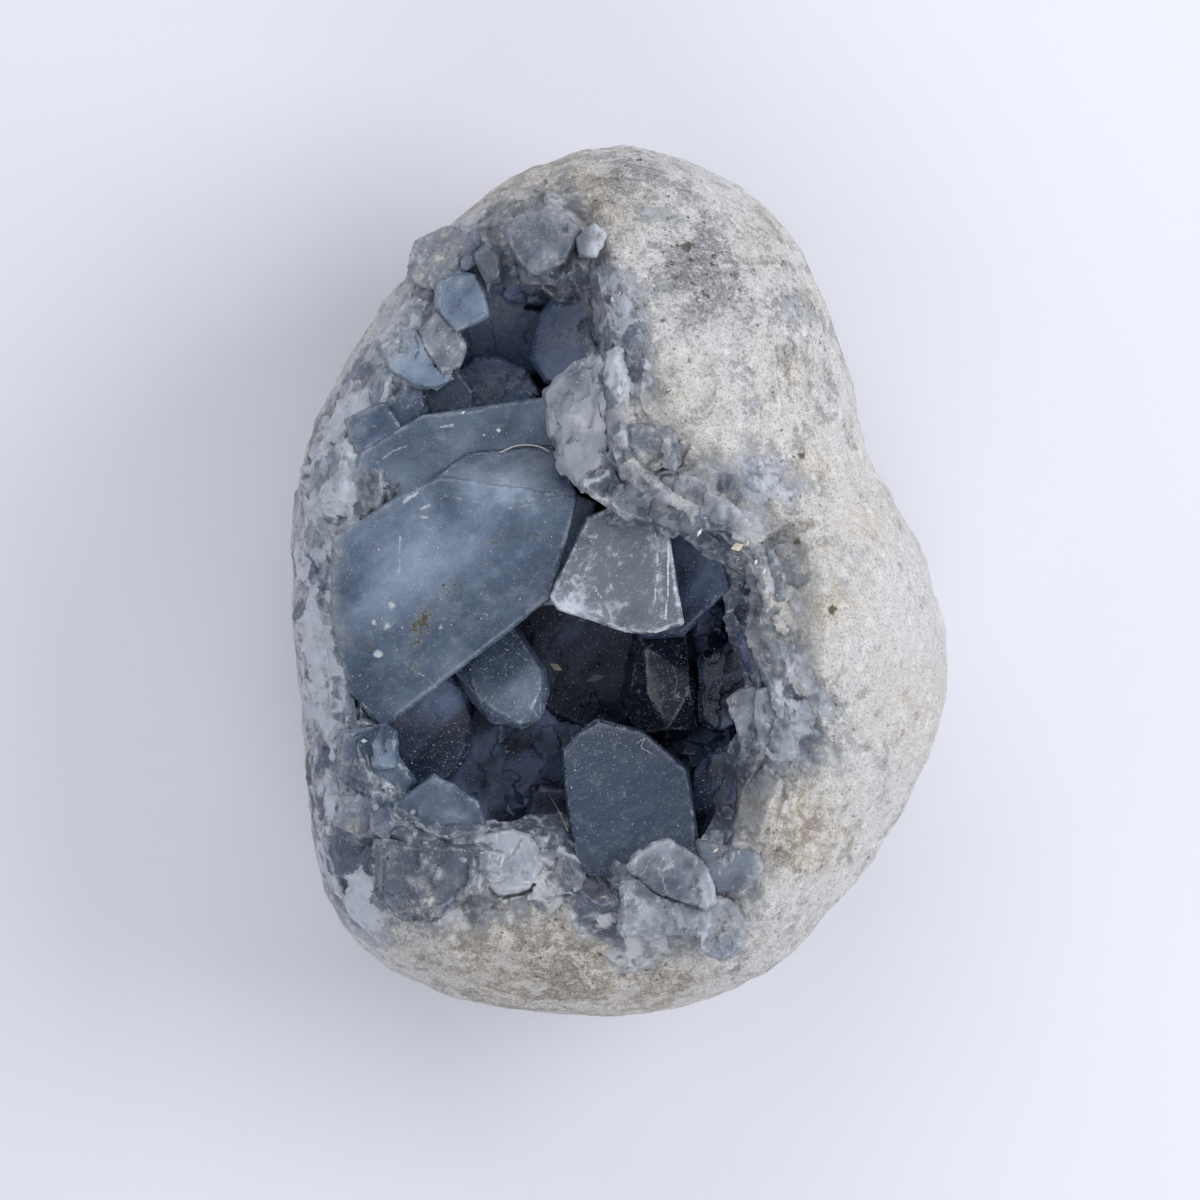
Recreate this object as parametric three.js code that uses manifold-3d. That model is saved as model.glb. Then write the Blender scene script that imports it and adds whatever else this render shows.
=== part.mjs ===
// Celestite geode: a nodule of pale rock, broken open on one side, whose hollow is lined with
// blue-grey celestite crystals. Millimetres, +Z up. The nodule lies on a small flat spot with its
// opening upwards; +Y runs along its length. The origin is the middle of its box, at the flat spot.

import * as THREE from 'three';
import { ConvexGeometry } from 'three/addons/geometries/ConvexGeometry.js';
import { mergeVertices } from 'three/addons/utils/BufferGeometryUtils.js';
import Module from 'manifold-3d';

const wasm = await Module();
wasm.setup();

// ---- Driving dimensions of the nodule ----

// The point that the nodule's radii are measured from, in the plane of its widest section.
const CENTRE = [-8, 2];
// Radius of the widest section, and of the opening's rim, at equal steps round from +X.
const GIRTH = [62, 55.5, 60, 70, 74, 68, 58.5, 53, 50, 48.5, 51, 60, 74.5, 76.5, 77.5, 76, 71, 68];
const RIM = [35.5, 32.5, 29, 26.5, 24.5, 24, 25.5, 30, 38, 59, 61, 58.5, 51.5, 48.5, 47, 44.5, 42, 41.5,
  42.5, 44, 45, 48, 52.5, 56, 57.5, 56.5, 54, 54, 62, 63, 59, 52, 49, 43, 38, 36.5];
// Height of the widest section, and of the dome above it: the dome is highest towards HIGH_SIDE.
const GIRTH_HEIGHT = 37;
const DOME_HEIGHT = 44;
const DOME_SWING = 4;
const HIGH_SIDE = 20 * Math.PI / 180;
// Exponent of the superellipse that the shell's sections follow.
const FULLNESS = 2.2;
// Radius of the flat spot, as a share of the girth.
const FLAT_SHARE = 0.3;
// Floor of the hollow: its height at the centre, and its rise per millimetre towards +Y.
const FLOOR_HEIGHT = 30;
const FLOOR_RISE = 0.12;

// ---- How finely the nodule is faceted ----
const COLUMNS = 45;
const BELLY_ROWS = 7;
const DOME_ROWS = 9;
const BOWL_ROWS = 7;

// ---- How crystals sit in the rock and beside each other ----
const CLEARANCE = 0.3;
const SHARPEST_CLEARANCE = 1.2;
const ROOT_DEPTH = 4;

// ---- Materials ----
const FINISHES = {
  rind: { color: 0xc9c3ba, roughness: 0.85, metalness: 0 },
  milky: { color: 0x8496a8, roughness: 0.35, metalness: 0 },
  clear: { color: 0x9fb0c0, roughness: 0.15, metalness: 0 },
  deep: { color: 0x3c4d63, roughness: 0.25, metalness: 0 },
  frosted: { color: 0xb4bcc6, roughness: 0.55, metalness: 0 },
};

/**
 * One crystal. The outline is its widest section seen from above and `top` the height of its outer
 * face there; `tilt` is that face's rise along X and Y. The face is inset from the outline and
 * stands `drop` above it. Below, the crystal narrows to `root` times its outline, moved by `lean`.
 */
function crystal(outline, top, options = {}) {
  return { outline, top, tilt: [0, 0], lean: [0, 0], inset: 0.07, drop: 1.3, root: 0.7, ...options };
}

// Each node holds the crystals that have grown into one another. The first nodes stand clear of
// the rest, and each later one gives way to those before it.
const CLUSTERS = {
  main_slab: ['milky',
    crystal([[-49, 7.5], [-38, 14.5], [-30.5, 18], [-7.5, 14.5], [-12, -2.5], [-19.5, -7],
      [-28.5, -15], [-41, -25], [-46.5, -18.5], [-49.5, -4.5]], 64,
    { tilt: [0.08, 0.2], lean: [-5, -2], inset: 0.02, drop: 1, root: 0.62 }),
    crystal([[-33, 16.5], [-26, 21.8], [-19, 22.5], [-10.8, 23.2], [-7.8, 15], [-14, 13.6],
      [-27, 14.4]], 65.2, { tilt: [0.08, -0.75], inset: 0.02, drop: 1, root: 0.8 })],
  clear_plate: ['clear',
    crystal([[-5.5, 11], [-1, 13], [4, 11.5], [8, 9], [8.5, -3], [10.5, -7], [6, -8.5], [1.5, -8.5],
      [-10.5, -4.5], [-12, -2.5], [-9, 3.5], [-7, 7.5]], 69,
    { tilt: [0.05, 0.1], lean: [2, 1], inset: 0.03, drop: 1.2, root: 0.6 })],
  slab_side: ['milky',
    crystal([[-16, 12], [-9, 15.5], [-4.5, 13.5], [-5.5, 8], [-10, -3.5], [-16, -4]], 65.3,
      { tilt: [-0.2, 0.2], lean: [-1, 1], inset: 0.05, drop: 0.8, root: 0.85 })],
  ridge_mottled: ['frosted',
    crystal([[-3.5, 21], [1, 26.5], [8, 26], [9, 19.5], [0.5, 18]], 78.5,
      { tilt: [0.15, 0], lean: [3, 0], inset: 0.15, drop: 1.5 })],
  glint_crystal: ['clear',
    crystal([[7, 18], [12, 17.5], [16, 14.5], [20.5, 11.5], [18, 8.8], [8.5, 8.5], [4.5, 11.2]],
      76.5, { tilt: [0.1, 0.3], lean: [2, 2], inset: 0.06, drop: 1 })],
  ridge_block: ['frosted',
    crystal([[-7, 16.5], [-4, 19], [0.5, 20], [8, 20], [9, 17], [6.5, 12], [5, 10], [-1, 12]],
      75.5, { tilt: [0.2, 0.15], lean: [2, 0], inset: 0.1, drop: 1.6, root: 0.85 })],
  ridge_massif: ['frosted',
    crystal([[-13, 32.5], [-10.5, 35], [-5.5, 38], [-0.5, 39.5], [2, 33], [1, 25], [-3, 19],
      [-6.5, 15.5], [-10, 19.5], [-12.5, 25]], 72.5,
    { tilt: [0.45, 0], lean: [3, 0], inset: 0.1, drop: 2, root: 0.85 })],
  back_slab: ['milky',
    crystal([[-45, 22], [-34, 28.5], [-26, 29], [-13, 31.5], [-11, 25], [-11, 20], [-27, 16],
      [-38, 11], [-43, 9], [-46, 16]], 61,
    { tilt: [0.05, -0.1], lean: [-3, 0], inset: 0.03, drop: 0.9, root: 0.8 })],
  shade_block: ['deep',
    crystal([[8, 9.5], [15, 9], [17.5, 4.5], [18.5, -1], [14, -4.5], [10.5, -9], [3, -9.5],
      [2, -3]], 63, { tilt: [0.3, 0.2], lean: [3, 1], inset: 0.08 })],
  east_wall: ['deep',
    crystal([[13.5, 9], [24.5, 8], [28, 1], [27, -5.5], [21, -7.5], [16.5, -0.5], [15.5, 4]], 66,
      { tilt: [0.8, 0.2], lean: [4, 0], inset: 0.06, drop: 1.6 }),
    crystal([[20, -5], [27, -4], [30, -9.5], [29, -18], [22, -17.5], [20.5, -11.5]], 66,
      { tilt: [0.7, 0], lean: [3, 0], inset: 0.08 })],
  east_plates: ['frosted',
    crystal([[18, -20], [20, -18.5], [23.5, -18], [24.2, -20], [23.7, -24.5], [24.9, -29],
      [21, -28], [19.5, -24]], 65, { tilt: [0.3, 0], lean: [3, 0], inset: 0.05, drop: 0.7 }),
    crystal([[23, -18.5], [26, -17.5], [28, -20], [29, -27], [30, -30], [26, -30.5],
      [24, -28.5], [23, -24]], 68, { lean: [2, 0], inset: 0.05, drop: 0.7, root: 0.9 })],
  tall_blade: ['milky',
    crystal([[-10, -28.5], [-8, -26], [-4, -23.5], [3.5, -25.5], [9, -31], [11.5, -32],
      [12.5, -38.5], [13.5, -46.5], [3.5, -53], [-7.5, -50], [-8, -43], [-9.5, -35.5]], 57,
    { tilt: [0.05, -0.25], lean: [1, -4], inset: 0.05, drop: 1.8, root: 0.78 })],
  white_slab: ['frosted',
    crystal([[1, -48.5], [2.5, -46.5], [5.5, -44.5], [8, -44], [14, -47.5], [16, -52],
      [16, -54.5], [14.5, -55.5], [12, -53.5], [7, -53], [3.5, -51]], 68,
    { tilt: [0, -0.1], lean: [0, -3], inset: 0.06, drop: 1, root: 0.8 })],
  south_clear: ['clear',
    crystal([[13, -44], [17.5, -45.5], [23, -46], [24, -48.5], [20.5, -52], [15, -53],
      [14, -48]], 67, { lean: [1, -2], drop: 1 })],
  south_rim: ['frosted',
    crystal([[0, -51], [4, -50], [9.5, -53], [10.5, -58.5], [6, -61], [0, -60]], 67.5,
      { tilt: [0, 0.15], inset: 0.1 }),
    crystal([[8.5, -52.5], [12.5, -52.5], [15.5, -54], [14.8, -60.5], [8.5, -60]], 66.5,
      { tilt: [0, 0.1], inset: 0.1 }),
    crystal([[13.2, -55.5], [16.5, -53.5], [20, -55.5], [21, -59], [21, -63], [17, -64.5],
      [13.2, -62.5]], 65.5, { tilt: [0, 0.1], inset: 0.1 })],
  east_low: ['deep',
    crystal([[13.5, -13], [20, -9], [26, -11], [27, -19], [22.5, -22], [18, -23], [17, -26],
      [13.5, -24]], 50, { tilt: [0.3, 0], lean: [4, 0], inset: 0.12, drop: 1.8 })],
  south_east_block: ['deep',
    crystal([[13, -32], [17, -27.5], [22, -27], [28.5, -31], [28, -37], [25, -43], [22, -47.5],
      [17, -47], [13, -45], [12, -37.5]], 55,
    { tilt: [0.4, 0], lean: [3, 0], inset: 0.12, drop: 2.2, root: 0.85 })],
  west_rounded: ['milky',
    crystal([[-28.5, -15], [-24.5, -9], [-19, -6], [-16, -11], [-13, -15], [-12.5, -19],
      [-14, -23.5], [-17, -25], [-22, -24], [-25.5, -20.5]], 54,
    { tilt: [0.1, -0.2], lean: [-2, 1], inset: 0.22, drop: 3, root: 0.85 })],
  mottled_block: ['milky',
    crystal([[-39, -38], [-32, -33], [-27.5, -35.5], [-24.5, -37.5], [-22.5, -42.5],
      [-25.5, -45], [-31.5, -47], [-36, -46.5], [-39, -43]], 63,
    { tilt: [0.05, 0.12], lean: [-2, -2], inset: 0.06, drop: 1.4, root: 0.85 })],
  white_block: ['frosted',
    crystal([[-25.5, -43.5], [-18.5, -42], [-15.5, -43], [-13.5, -48], [-15.5, -52], [-21, -53],
      [-25, -49]], 67.5, { lean: [0, -3], inset: 0.1, root: 0.8 })],
  west_dark: ['deep',
    crystal([[-43, -24.5], [-38, -20], [-31, -15], [-27, -17], [-25.5, -23], [-26, -29],
      [-29, -33.5], [-34, -36], [-38, -35], [-41, -30]], 49,
    { tilt: [-0.1, 0.2], lean: [-3, 0], inset: 0.12, drop: 2, root: 0.9 })],
  foot_massif: ['frosted',
    crystal([[-42, -44], [-35, -45], [-31.5, -45.5], [-24, -45], [-24.5, -51.5],
      [-30, -56.5], [-37.5, -58], [-42, -53]], 68,
    { tilt: [0.16, 0.2], inset: 0.12, drop: 1.8, root: 0.85 })],
  west_foot: ['milky',
    crystal([[-47.5, -36.5], [-41, -36], [-40, -43.5], [-45, -43.5], [-49, -41]], 63.5,
      { tilt: [0.15, 0], inset: 0.1 }),
    crystal([[-42.5, -39.5], [-39.5, -37.5], [-38.5, -42.5], [-40, -44.5], [-42.5, -42.5]], 66,
      { inset: 0.12, root: 0.85 })],
  west_blocks: ['milky',
    crystal([[-48, -25.5], [-42.5, -24.5], [-39.5, -30], [-37.5, -31.5], [-35.5, -34],
      [-37.5, -38], [-43.5, -37.5], [-48.5, -33]], 61, { tilt: [-0.05, 0], inset: 0.08, root: 0.9 }),
    crystal([[-42.5, -27.5], [-41, -24.5], [-38.5, -25.5], [-38.5, -31.5], [-42, -31.5]], 63.5,
      { inset: 0.12, root: 0.85 })],
  light_block: ['milky',
    crystal([[-31.5, 47], [-31.5, 51], [-28, 53], [-25, 52.5], [-23.5, 49], [-22.5, 45.5],
      [-28, 43], [-30, 45]], 62, { tilt: [0.1, 0], lean: [-2, 1], root: 0.8 })],
  grey_prism: ['frosted',
    crystal([[-34.5, 43], [-31.5, 46.5], [-29.5, 46], [-26.5, 40.5], [-27.5, 37], [-30.5, 35.5],
      [-33.5, 40]], 61, { lean: [-2, 0], inset: 0.12, root: 0.8 })],
  lilac_block: ['milky',
    crystal([[-41, 40.5], [-36, 43.5], [-32.5, 42.5], [-31, 38], [-29, 35], [-31.5, 33],
      [-35, 33.5], [-39.5, 36.5]], 60.5, { lean: [-1, 0], inset: 0.1, tilt: [0.05, 0], root: 0.85 })],
  west_lilac: ['milky',
    crystal([[-43, 32], [-41.5, 36.5], [-37.5, 38], [-35, 36], [-34, 32.5], [-33, 28.5],
      [-38, 25.5], [-42, 28]], 58.5, { lean: [-1, 0], tilt: [-0.05, 0], root: 0.85 })],
  corner_block: ['milky',
    crystal([[-47.5, 28], [-40.5, 31], [-37.5, 26], [-45, 20.5]], 60, { inset: 0.1, root: 0.85 })],
  north_point: ['clear',
    crystal([[-25.5, 56], [-23, 58.5], [-20.2, 56.5], [-20.8, 51.5], [-23, 51.5]], 64,
      { inset: 0.35, drop: 3, root: 0.9 })],
  shoulder_block: ['milky',
    crystal([[-36.5, 52], [-35, 58.5], [-30.5, 60.5], [-25, 61], [-23.5, 56], [-28, 52.5],
      [-31.5, 50]], 60.5, { tilt: [0.3, -0.15], inset: 0.1, root: 0.9 })],
  north_block: ['frosted',
    crystal([[-20.5, 60.5], [-16, 63], [-10.5, 63.5], [-6.5, 60], [-9.5, 54.5], [-13, 52.5],
      [-15.5, 52.5], [-18.5, 56]], 68, { tilt: [0.15, 0], inset: 0.12, lean: [0, 1], drop: 2 })],
  north_chip: ['clear',
    crystal([[-7.5, 58.5], [-4.5, 61], [-2.5, 59], [-4.5, 55.5], [-7, 55.5]], 71,
      { tilt: [0.2, 0], inset: 0.1, root: 0.9 })],
  glassy_chip: ['clear',
    crystal([[-14, 50.5], [-12.5, 54], [-9.5, 55], [-6.5, 52.5], [-7.5, 48.5], [-10.5, 47.5]], 58,
      { inset: 0.25, lean: [2, 2], drop: 2.5, root: 0.8 })],
  north_dark: ['deep',
    crystal([[-15.5, 38.5], [-14, 46], [-11, 50], [-5, 53.5], [-1, 50], [0, 42], [-2, 36],
      [-8, 33.5], [-13, 34.5]], 56, { tilt: [0.5, 0], lean: [3, 1], drop: 2.5, root: 0.9 })],
  north_inner: ['deep',
    crystal([[-22.5, 60], [-16.5, 59], [-11, 54], [-12.5, 48], [-19.5, 48.5], [-23.5, 53]], 50,
      { tilt: [0, 0.5], lean: [0, 2], root: 0.9 })],
  north_floor: ['deep',
    crystal([[-30, 50], [-24, 54], [-18, 55], [-13, 52], [-12, 44], [-13, 37], [-20, 34.5],
      [-27, 36.5], [-31, 43]], 43, { tilt: [0, 0.15], drop: 2, root: 0.85 })],
  navy_block: ['deep',
    crystal([[-30, 34.5], [-25, 39], [-20, 38.5], [-16.5, 37], [-14, 33], [-14.5, 28.5],
      [-27, 26.5]], 50, { tilt: [-0.1, -0.2], drop: 2.5, root: 0.85 })],
  west_triangle: ['milky',
    crystal([[-36, 27], [-33, 35], [-28, 37], [-25, 33], [-25, 26.5]], 55,
      { inset: 0.15, root: 0.9 })],
  centre_point: ['clear',
    crystal([[2.5, -8], [11, -8], [14, -14], [15, -19], [13, -25], [8, -28], [3, -26],
      [0.5, -20]], 46, { lean: [1, -1], inset: 0.55, drop: 6, tilt: [0.1, 0], root: 0.95 })],
  floor_centre: ['milky',
    crystal([[-19, -4], [-12, -1], [0, -5], [6, -7], [5, -16.5], [3, -24], [-3.5, -26],
      [-10.5, -24], [-15, -20], [-18, -12.5], [-21, -8]], 38,
    { tilt: [0, 0.1], drop: 1.5, inset: 0.08, root: 0.9 })],
  floor_south: ['deep',
    crystal([[-15.5, -35], [-9, -35.5], [-6, -43.5], [-6, -51], [-14, -53], [-17, -44]], 42,
      { inset: 0.12, root: 0.95 })],
  floor_west: ['deep',
    crystal([[-30, -26], [-24, -19], [-15.5, -20], [-10.5, -18], [-3, -20], [0, -26], [-4, -36],
      [-8, -44], [-14, -49], [-24, -47], [-31, -38], [-33, -33]], 38,
    { tilt: [-0.1, -0.1], drop: 1.8, inset: 0.08, root: 0.85 })],
};

/** Value of a closed list of radii at an angle, on a smooth curve through its points. */
function aroundRing(values, angle) {
  const count = values.length;
  const step = count * angle / (2 * Math.PI);
  const index = Math.floor(step);
  const f = step - index;
  const [a, b, c, d] = [-1, 0, 1, 2].map((k) => values[(index + k + 2 * count) % count]);
  return 0.5 * (2 * b + (c - a) * f + (2 * a - 5 * b + 4 * c - d) * f ** 2
    + (3 * b - a - 3 * c + d) * f ** 3);
}

/** Height share of the shell's section at a share t of the girth: 1 at its middle, 0 at its edge. */
function section(t) {
  return (1 - Math.min(t, 1) ** FULLNESS) ** (1 / FULLNESS);
}

/** Height of the dome at a share t of the girth, in the direction of an angle. */
function domeHeight(angle, t) {
  return GIRTH_HEIGHT + (DOME_HEIGHT + DOME_SWING * Math.cos(angle - HIGH_SIDE)) * section(t);
}

/** Height of the hollow's wall or floor at a radius inside the rim: steep at the rim, flat inside. */
function bowlHeight(angle, radius) {
  const rim = aroundRing(RIM, angle);
  const lip = domeHeight(angle, rim / aroundRing(GIRTH, angle));
  const floor = FLOOR_HEIGHT + FLOOR_RISE * radius * Math.sin(angle);
  const depth = Math.sqrt(Math.max(0, 1 - (radius / rim) ** 2));
  return lip + (floor - lip) * depth;
}

/** Height of the rock under a point: the hollow inside the rim, the dome outside it. */
function rockHeight(x, y) {
  const angle = Math.atan2(y - CENTRE[1], x - CENTRE[0]);
  const radius = Math.hypot(x - CENTRE[0], y - CENTRE[1]);
  if (radius < aroundRing(RIM, angle)) return bowlHeight(angle, radius);
  return domeHeight(angle, radius / aroundRing(GIRTH, angle));
}

/** Radius and height along one section of the shell, from the flat spot's edge to the hollow. */
function shellSection(angle) {
  const girth = aroundRing(GIRTH, angle);
  const rim = aroundRing(RIM, angle);
  const start = Math.asin(FLAT_SHARE ** (FULLNESS / 2));
  const end = Math.asin((rim / girth) ** (FULLNESS / 2));
  const points = [];
  for (let row = 0; row < BELLY_ROWS; row += 1) {
    const turn = start + (Math.PI / 2 - start) * row / BELLY_ROWS;
    const t = Math.sin(turn) ** (2 / FULLNESS);
    points.push([girth * t, GIRTH_HEIGHT * (1 - section(t) / section(FLAT_SHARE))]);
  }
  for (let row = 0; row < DOME_ROWS; row += 1) {
    const turn = Math.PI / 2 + (end - Math.PI / 2) * row / DOME_ROWS;
    const t = Math.sin(turn) ** (2 / FULLNESS);
    points.push([girth * t, domeHeight(angle, t)]);
  }
  for (let row = 0; row < BOWL_ROWS; row += 1) {
    const radius = rim * Math.cos(Math.PI / 2 * row / BOWL_ROWS);
    points.push([radius, bowlHeight(angle, radius)]);
  }
  return points;
}

/** The nodule's shell before any crystal is set in it: rings of points closed by a pole each end. */
function shellGeometry() {
  const positions = [CENTRE[0], CENTRE[1], 0];
  for (let column = 0; column < COLUMNS; column += 1) {
    const angle = 2 * Math.PI * column / COLUMNS;
    for (const [radius, height] of shellSection(angle)) {
      const x = CENTRE[0] + radius * Math.cos(angle);
      const y = CENTRE[1] + radius * Math.sin(angle);
      positions.push(x, y, height);
    }
  }
  positions.push(CENTRE[0], CENTRE[1], FLOOR_HEIGHT);
  const rows = BELLY_ROWS + DOME_ROWS + BOWL_ROWS;
  const lastPole = positions.length / 3 - 1;
  const point = (column, row) => 1 + (column % COLUMNS) * rows + row;
  const triangles = [];
  for (let column = 0; column < COLUMNS; column += 1) {
    triangles.push(0, point(column + 1, 0), point(column, 0));
    for (let row = 0; row < rows - 1; row += 1) {
      const corners = [point(column, row), point(column + 1, row),
        point(column + 1, row + 1), point(column, row + 1)];
      triangles.push(corners[0], corners[1], corners[2], corners[0], corners[2], corners[3]);
    }
    triangles.push(point(column, rows - 1), point(column + 1, rows - 1), lastPole);
  }
  const geometry = new THREE.BufferGeometry();
  geometry.setAttribute('position', new THREE.Float32BufferAttribute(positions, 3));
  geometry.setIndex(triangles);
  return geometry;
}

/** Middle of an outline's points. */
function middle(outline) {
  const sum = outline.reduce(([x, y], [px, py]) => [x + px, y + py], [0, 0]);
  return sum.map((value) => value / outline.length);
}

/** The corner points of one crystal: its face, its widest section and its root in the rock. */
function crystalPoints({ outline, top, tilt, lean, inset, drop, root }) {
  const [cx, cy] = middle(outline);
  const rootHeight = rockHeight(cx + lean[0], cy + lean[1]) - ROOT_DEPTH;
  const points = [];
  outline.forEach(([x, y], index) => {
    const face = top + tilt[0] * (x - cx) + tilt[1] * (y - cy);
    // Neighbouring corners sit at unlike depths, so the sides are broken into facets.
    const uneven = 1 + 0.45 * Math.sin(2.4 * index + top);
    const inner = 1 - inset * (2 - uneven);
    points.push(new THREE.Vector3(cx + inner * (x - cx), cy + inner * (y - cy), face));
    points.push(new THREE.Vector3(x, y, face - drop * uneven));
    points.push(new THREE.Vector3(cx + lean[0] + root * (x - cx), cy + lean[1] + root * (y - cy),
      Math.min(rootHeight, face - 2.5 * drop)));
  });
  return points;
}

/** Solid of a closed geometry, once its shared corners are merged. */
function toSolid(geometry) {
  const vertProperties = new Float32Array(geometry.attributes.position.array);
  const triVerts = new Uint32Array(geometry.index.array);
  return new wasm.Manifold(new wasm.Mesh({ numProp: 3, vertProperties, triVerts }));
}

/** Convex hull of points, with its corners shared between its faces. */
function hull(points) {
  const geometry = new ConvexGeometry(points);
  geometry.deleteAttribute('normal');
  geometry.deleteAttribute('uv');
  return mergeVertices(geometry);
}

/**
 * A hull grown on all sides by the clearance: each corner moves along the mean of the normals
 * round it, until every face that meets there has moved out far enough.
 */
function grown(geometry) {
  const { position } = geometry.attributes;
  const corners = Array.from({ length: position.count },
    (_, i) => new THREE.Vector3().fromBufferAttribute(position, i));
  const normals = corners.map(() => []);
  const { array: index } = geometry.index;
  for (let t = 0; t < index.length; t += 3) {
    const triangle = [index[t], index[t + 1], index[t + 2]];
    const normal = new THREE.Triangle(...triangle.map((i) => corners[i])).getNormal(new THREE.Vector3());
    triangle.forEach((i) => normals[i].push(normal));
  }
  return hull(corners.map((corner, i) => {
    const mean = new THREE.Vector3();
    normals[i].forEach((normal) => mean.add(normal));
    mean.normalize();
    const flattest = Math.min(...normals[i].map((normal) => normal.dot(mean)));
    const shift = CLEARANCE / Math.max(flattest, CLEARANCE / SHARPEST_CLEARANCE);
    return corner.clone().addScaledVector(mean, shift);
  }));
}

/** The biggest body of a solid, without the slivers that a cut may leave. */
function largest(solid) {
  const bodies = solid.decompose();
  bodies.sort((a, b) => b.volume() - a.volume());
  return bodies[0];
}

/** A named mesh of a solid. */
function toMesh(name, solid, finish) {
  const { vertProperties, triVerts } = solid.getMesh();
  const geometry = new THREE.BufferGeometry();
  geometry.setAttribute('position', new THREE.BufferAttribute(vertProperties, 3));
  geometry.setIndex(new THREE.BufferAttribute(triVerts, 1));
  geometry.computeVertexNormals();
  const mesh = new THREE.Mesh(geometry, new THREE.MeshStandardMaterial(FINISHES[finish]));
  mesh.name = name;
  return mesh;
}

/** The whole geode: the crystals, and the rock with a socket for each of them. */
function geode() {
  const group = new THREE.Group();
  let taken = null;
  for (const [name, [finish, ...members]] of Object.entries(CLUSTERS)) {
    const hulls = members.map((member) => hull(crystalPoints(member)));
    const whole = hulls.map(toSolid).reduce((joined, solid) => joined.add(solid));
    const free = taken ? whole.subtract(taken) : whole;
    group.add(toMesh(name, largest(free), finish));
    const sockets = hulls.map((shape) => toSolid(grown(shape)));
    taken = sockets.reduce((joined, solid) => (joined ? joined.add(solid) : solid), taken);
  }
  const rock = toSolid(shellGeometry()).subtract(taken);
  group.add(toMesh('matrix', largest(rock), 'rind'));
  const box = new THREE.Box3().setFromObject(group);
  const centre = box.getCenter(new THREE.Vector3());
  group.position.set(-centre.x, -centre.y, -box.min.z);
  return group;
}

const group = geode();

export default group;
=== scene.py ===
"""A celestite geode: a pale rock nodule, broken open, with blue-grey crystals in its hollow.

Lengths are worked out in millimetres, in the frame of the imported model, and become metres when a
mesh is written. +Z is up out of the hollow and +Y runs along the nodule.
"""

import logging
import math
from dataclasses import dataclass, field
from enum import Enum

import bmesh
import bpy
import numpy as np
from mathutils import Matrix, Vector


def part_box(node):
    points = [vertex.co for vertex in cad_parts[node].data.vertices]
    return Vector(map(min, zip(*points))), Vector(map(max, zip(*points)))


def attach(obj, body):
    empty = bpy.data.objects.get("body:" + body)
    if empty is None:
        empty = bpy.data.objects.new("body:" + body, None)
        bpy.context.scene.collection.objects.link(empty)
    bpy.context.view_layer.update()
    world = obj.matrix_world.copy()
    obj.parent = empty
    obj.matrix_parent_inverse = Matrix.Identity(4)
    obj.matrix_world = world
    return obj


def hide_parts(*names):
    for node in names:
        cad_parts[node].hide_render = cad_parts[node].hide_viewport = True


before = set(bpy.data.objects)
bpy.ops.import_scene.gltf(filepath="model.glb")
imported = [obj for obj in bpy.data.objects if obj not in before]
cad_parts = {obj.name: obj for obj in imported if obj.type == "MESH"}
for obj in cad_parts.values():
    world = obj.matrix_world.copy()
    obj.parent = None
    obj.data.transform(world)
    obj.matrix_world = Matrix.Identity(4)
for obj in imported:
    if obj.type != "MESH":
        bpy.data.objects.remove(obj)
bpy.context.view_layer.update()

log = logging.getLogger("geode")
MM = 0.001
Array = np.ndarray
Colour = tuple[float, float, float]
Path = tuple[tuple[float, float], ...]


# ---------------------------------------------------------------- noise on arrays of points


def lattice(cell: Array, seed: int) -> Array:
    """Random numbers from 0 to 1, one for each whole-number cell.

    The three coordinates times large primes are mixed with exclusive or, then stirred by shifts
    and products.

    Args:
        cell: whole numbers, shape (..., 3).
        seed: which of many unlike fields to read.

    Returns:
        Numbers of shape (...).
    """
    x, y, z = (cell[..., k].astype(np.int64) for k in range(3))
    h = (x * 73856093) ^ (y * 19349663) ^ (z * 83492791) ^ (seed * 2654435761)
    h &= 0xFFFFFFFF
    for _ in range(2):
        h = ((h ^ (h >> 16)) * 0x45D9F3B) & 0xFFFFFFFF
    return (h ^ (h >> 16)) / 4294967296.0


def smooth_noise(points: Array, size: float, seed: int) -> Array:
    """Smooth noise from -1 to 1: lattice numbers blended between the eight corners of each cell.

    Args:
        points: positions, shape (..., 3).
        size: width of one lattice cell, in the same unit.
        seed: which field to read.

    Returns:
        Numbers of shape (...).
    """
    scaled = points / size
    base = np.floor(scaled)
    share = scaled - base
    share = share * share * (3 - 2 * share)
    total = np.zeros(points.shape[:-1])
    for corner in np.ndindex(2, 2, 2):
        weight = np.prod(np.where(corner, share, 1 - share), axis=-1)
        total += weight * lattice(base + np.array(corner), seed)
    return 2 * total - 1


def fractal(points: Array, size: float, octaves: int, seed: int) -> Array:
    """Sum of smooth noises, each half the size and half the strength of the one before."""
    return sum(smooth_noise(points, size / 2**k, seed + k) / 2**k for k in range(octaves))


def stray(points: Array, size: float, octaves: int, seed: int, ways: int = 3) -> Array:
    """A fractal of its own for each of the first few axes, along which points are moved."""
    return np.stack([fractal(points, size, octaves, seed + k) for k in range(ways)], axis=-1)


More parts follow.
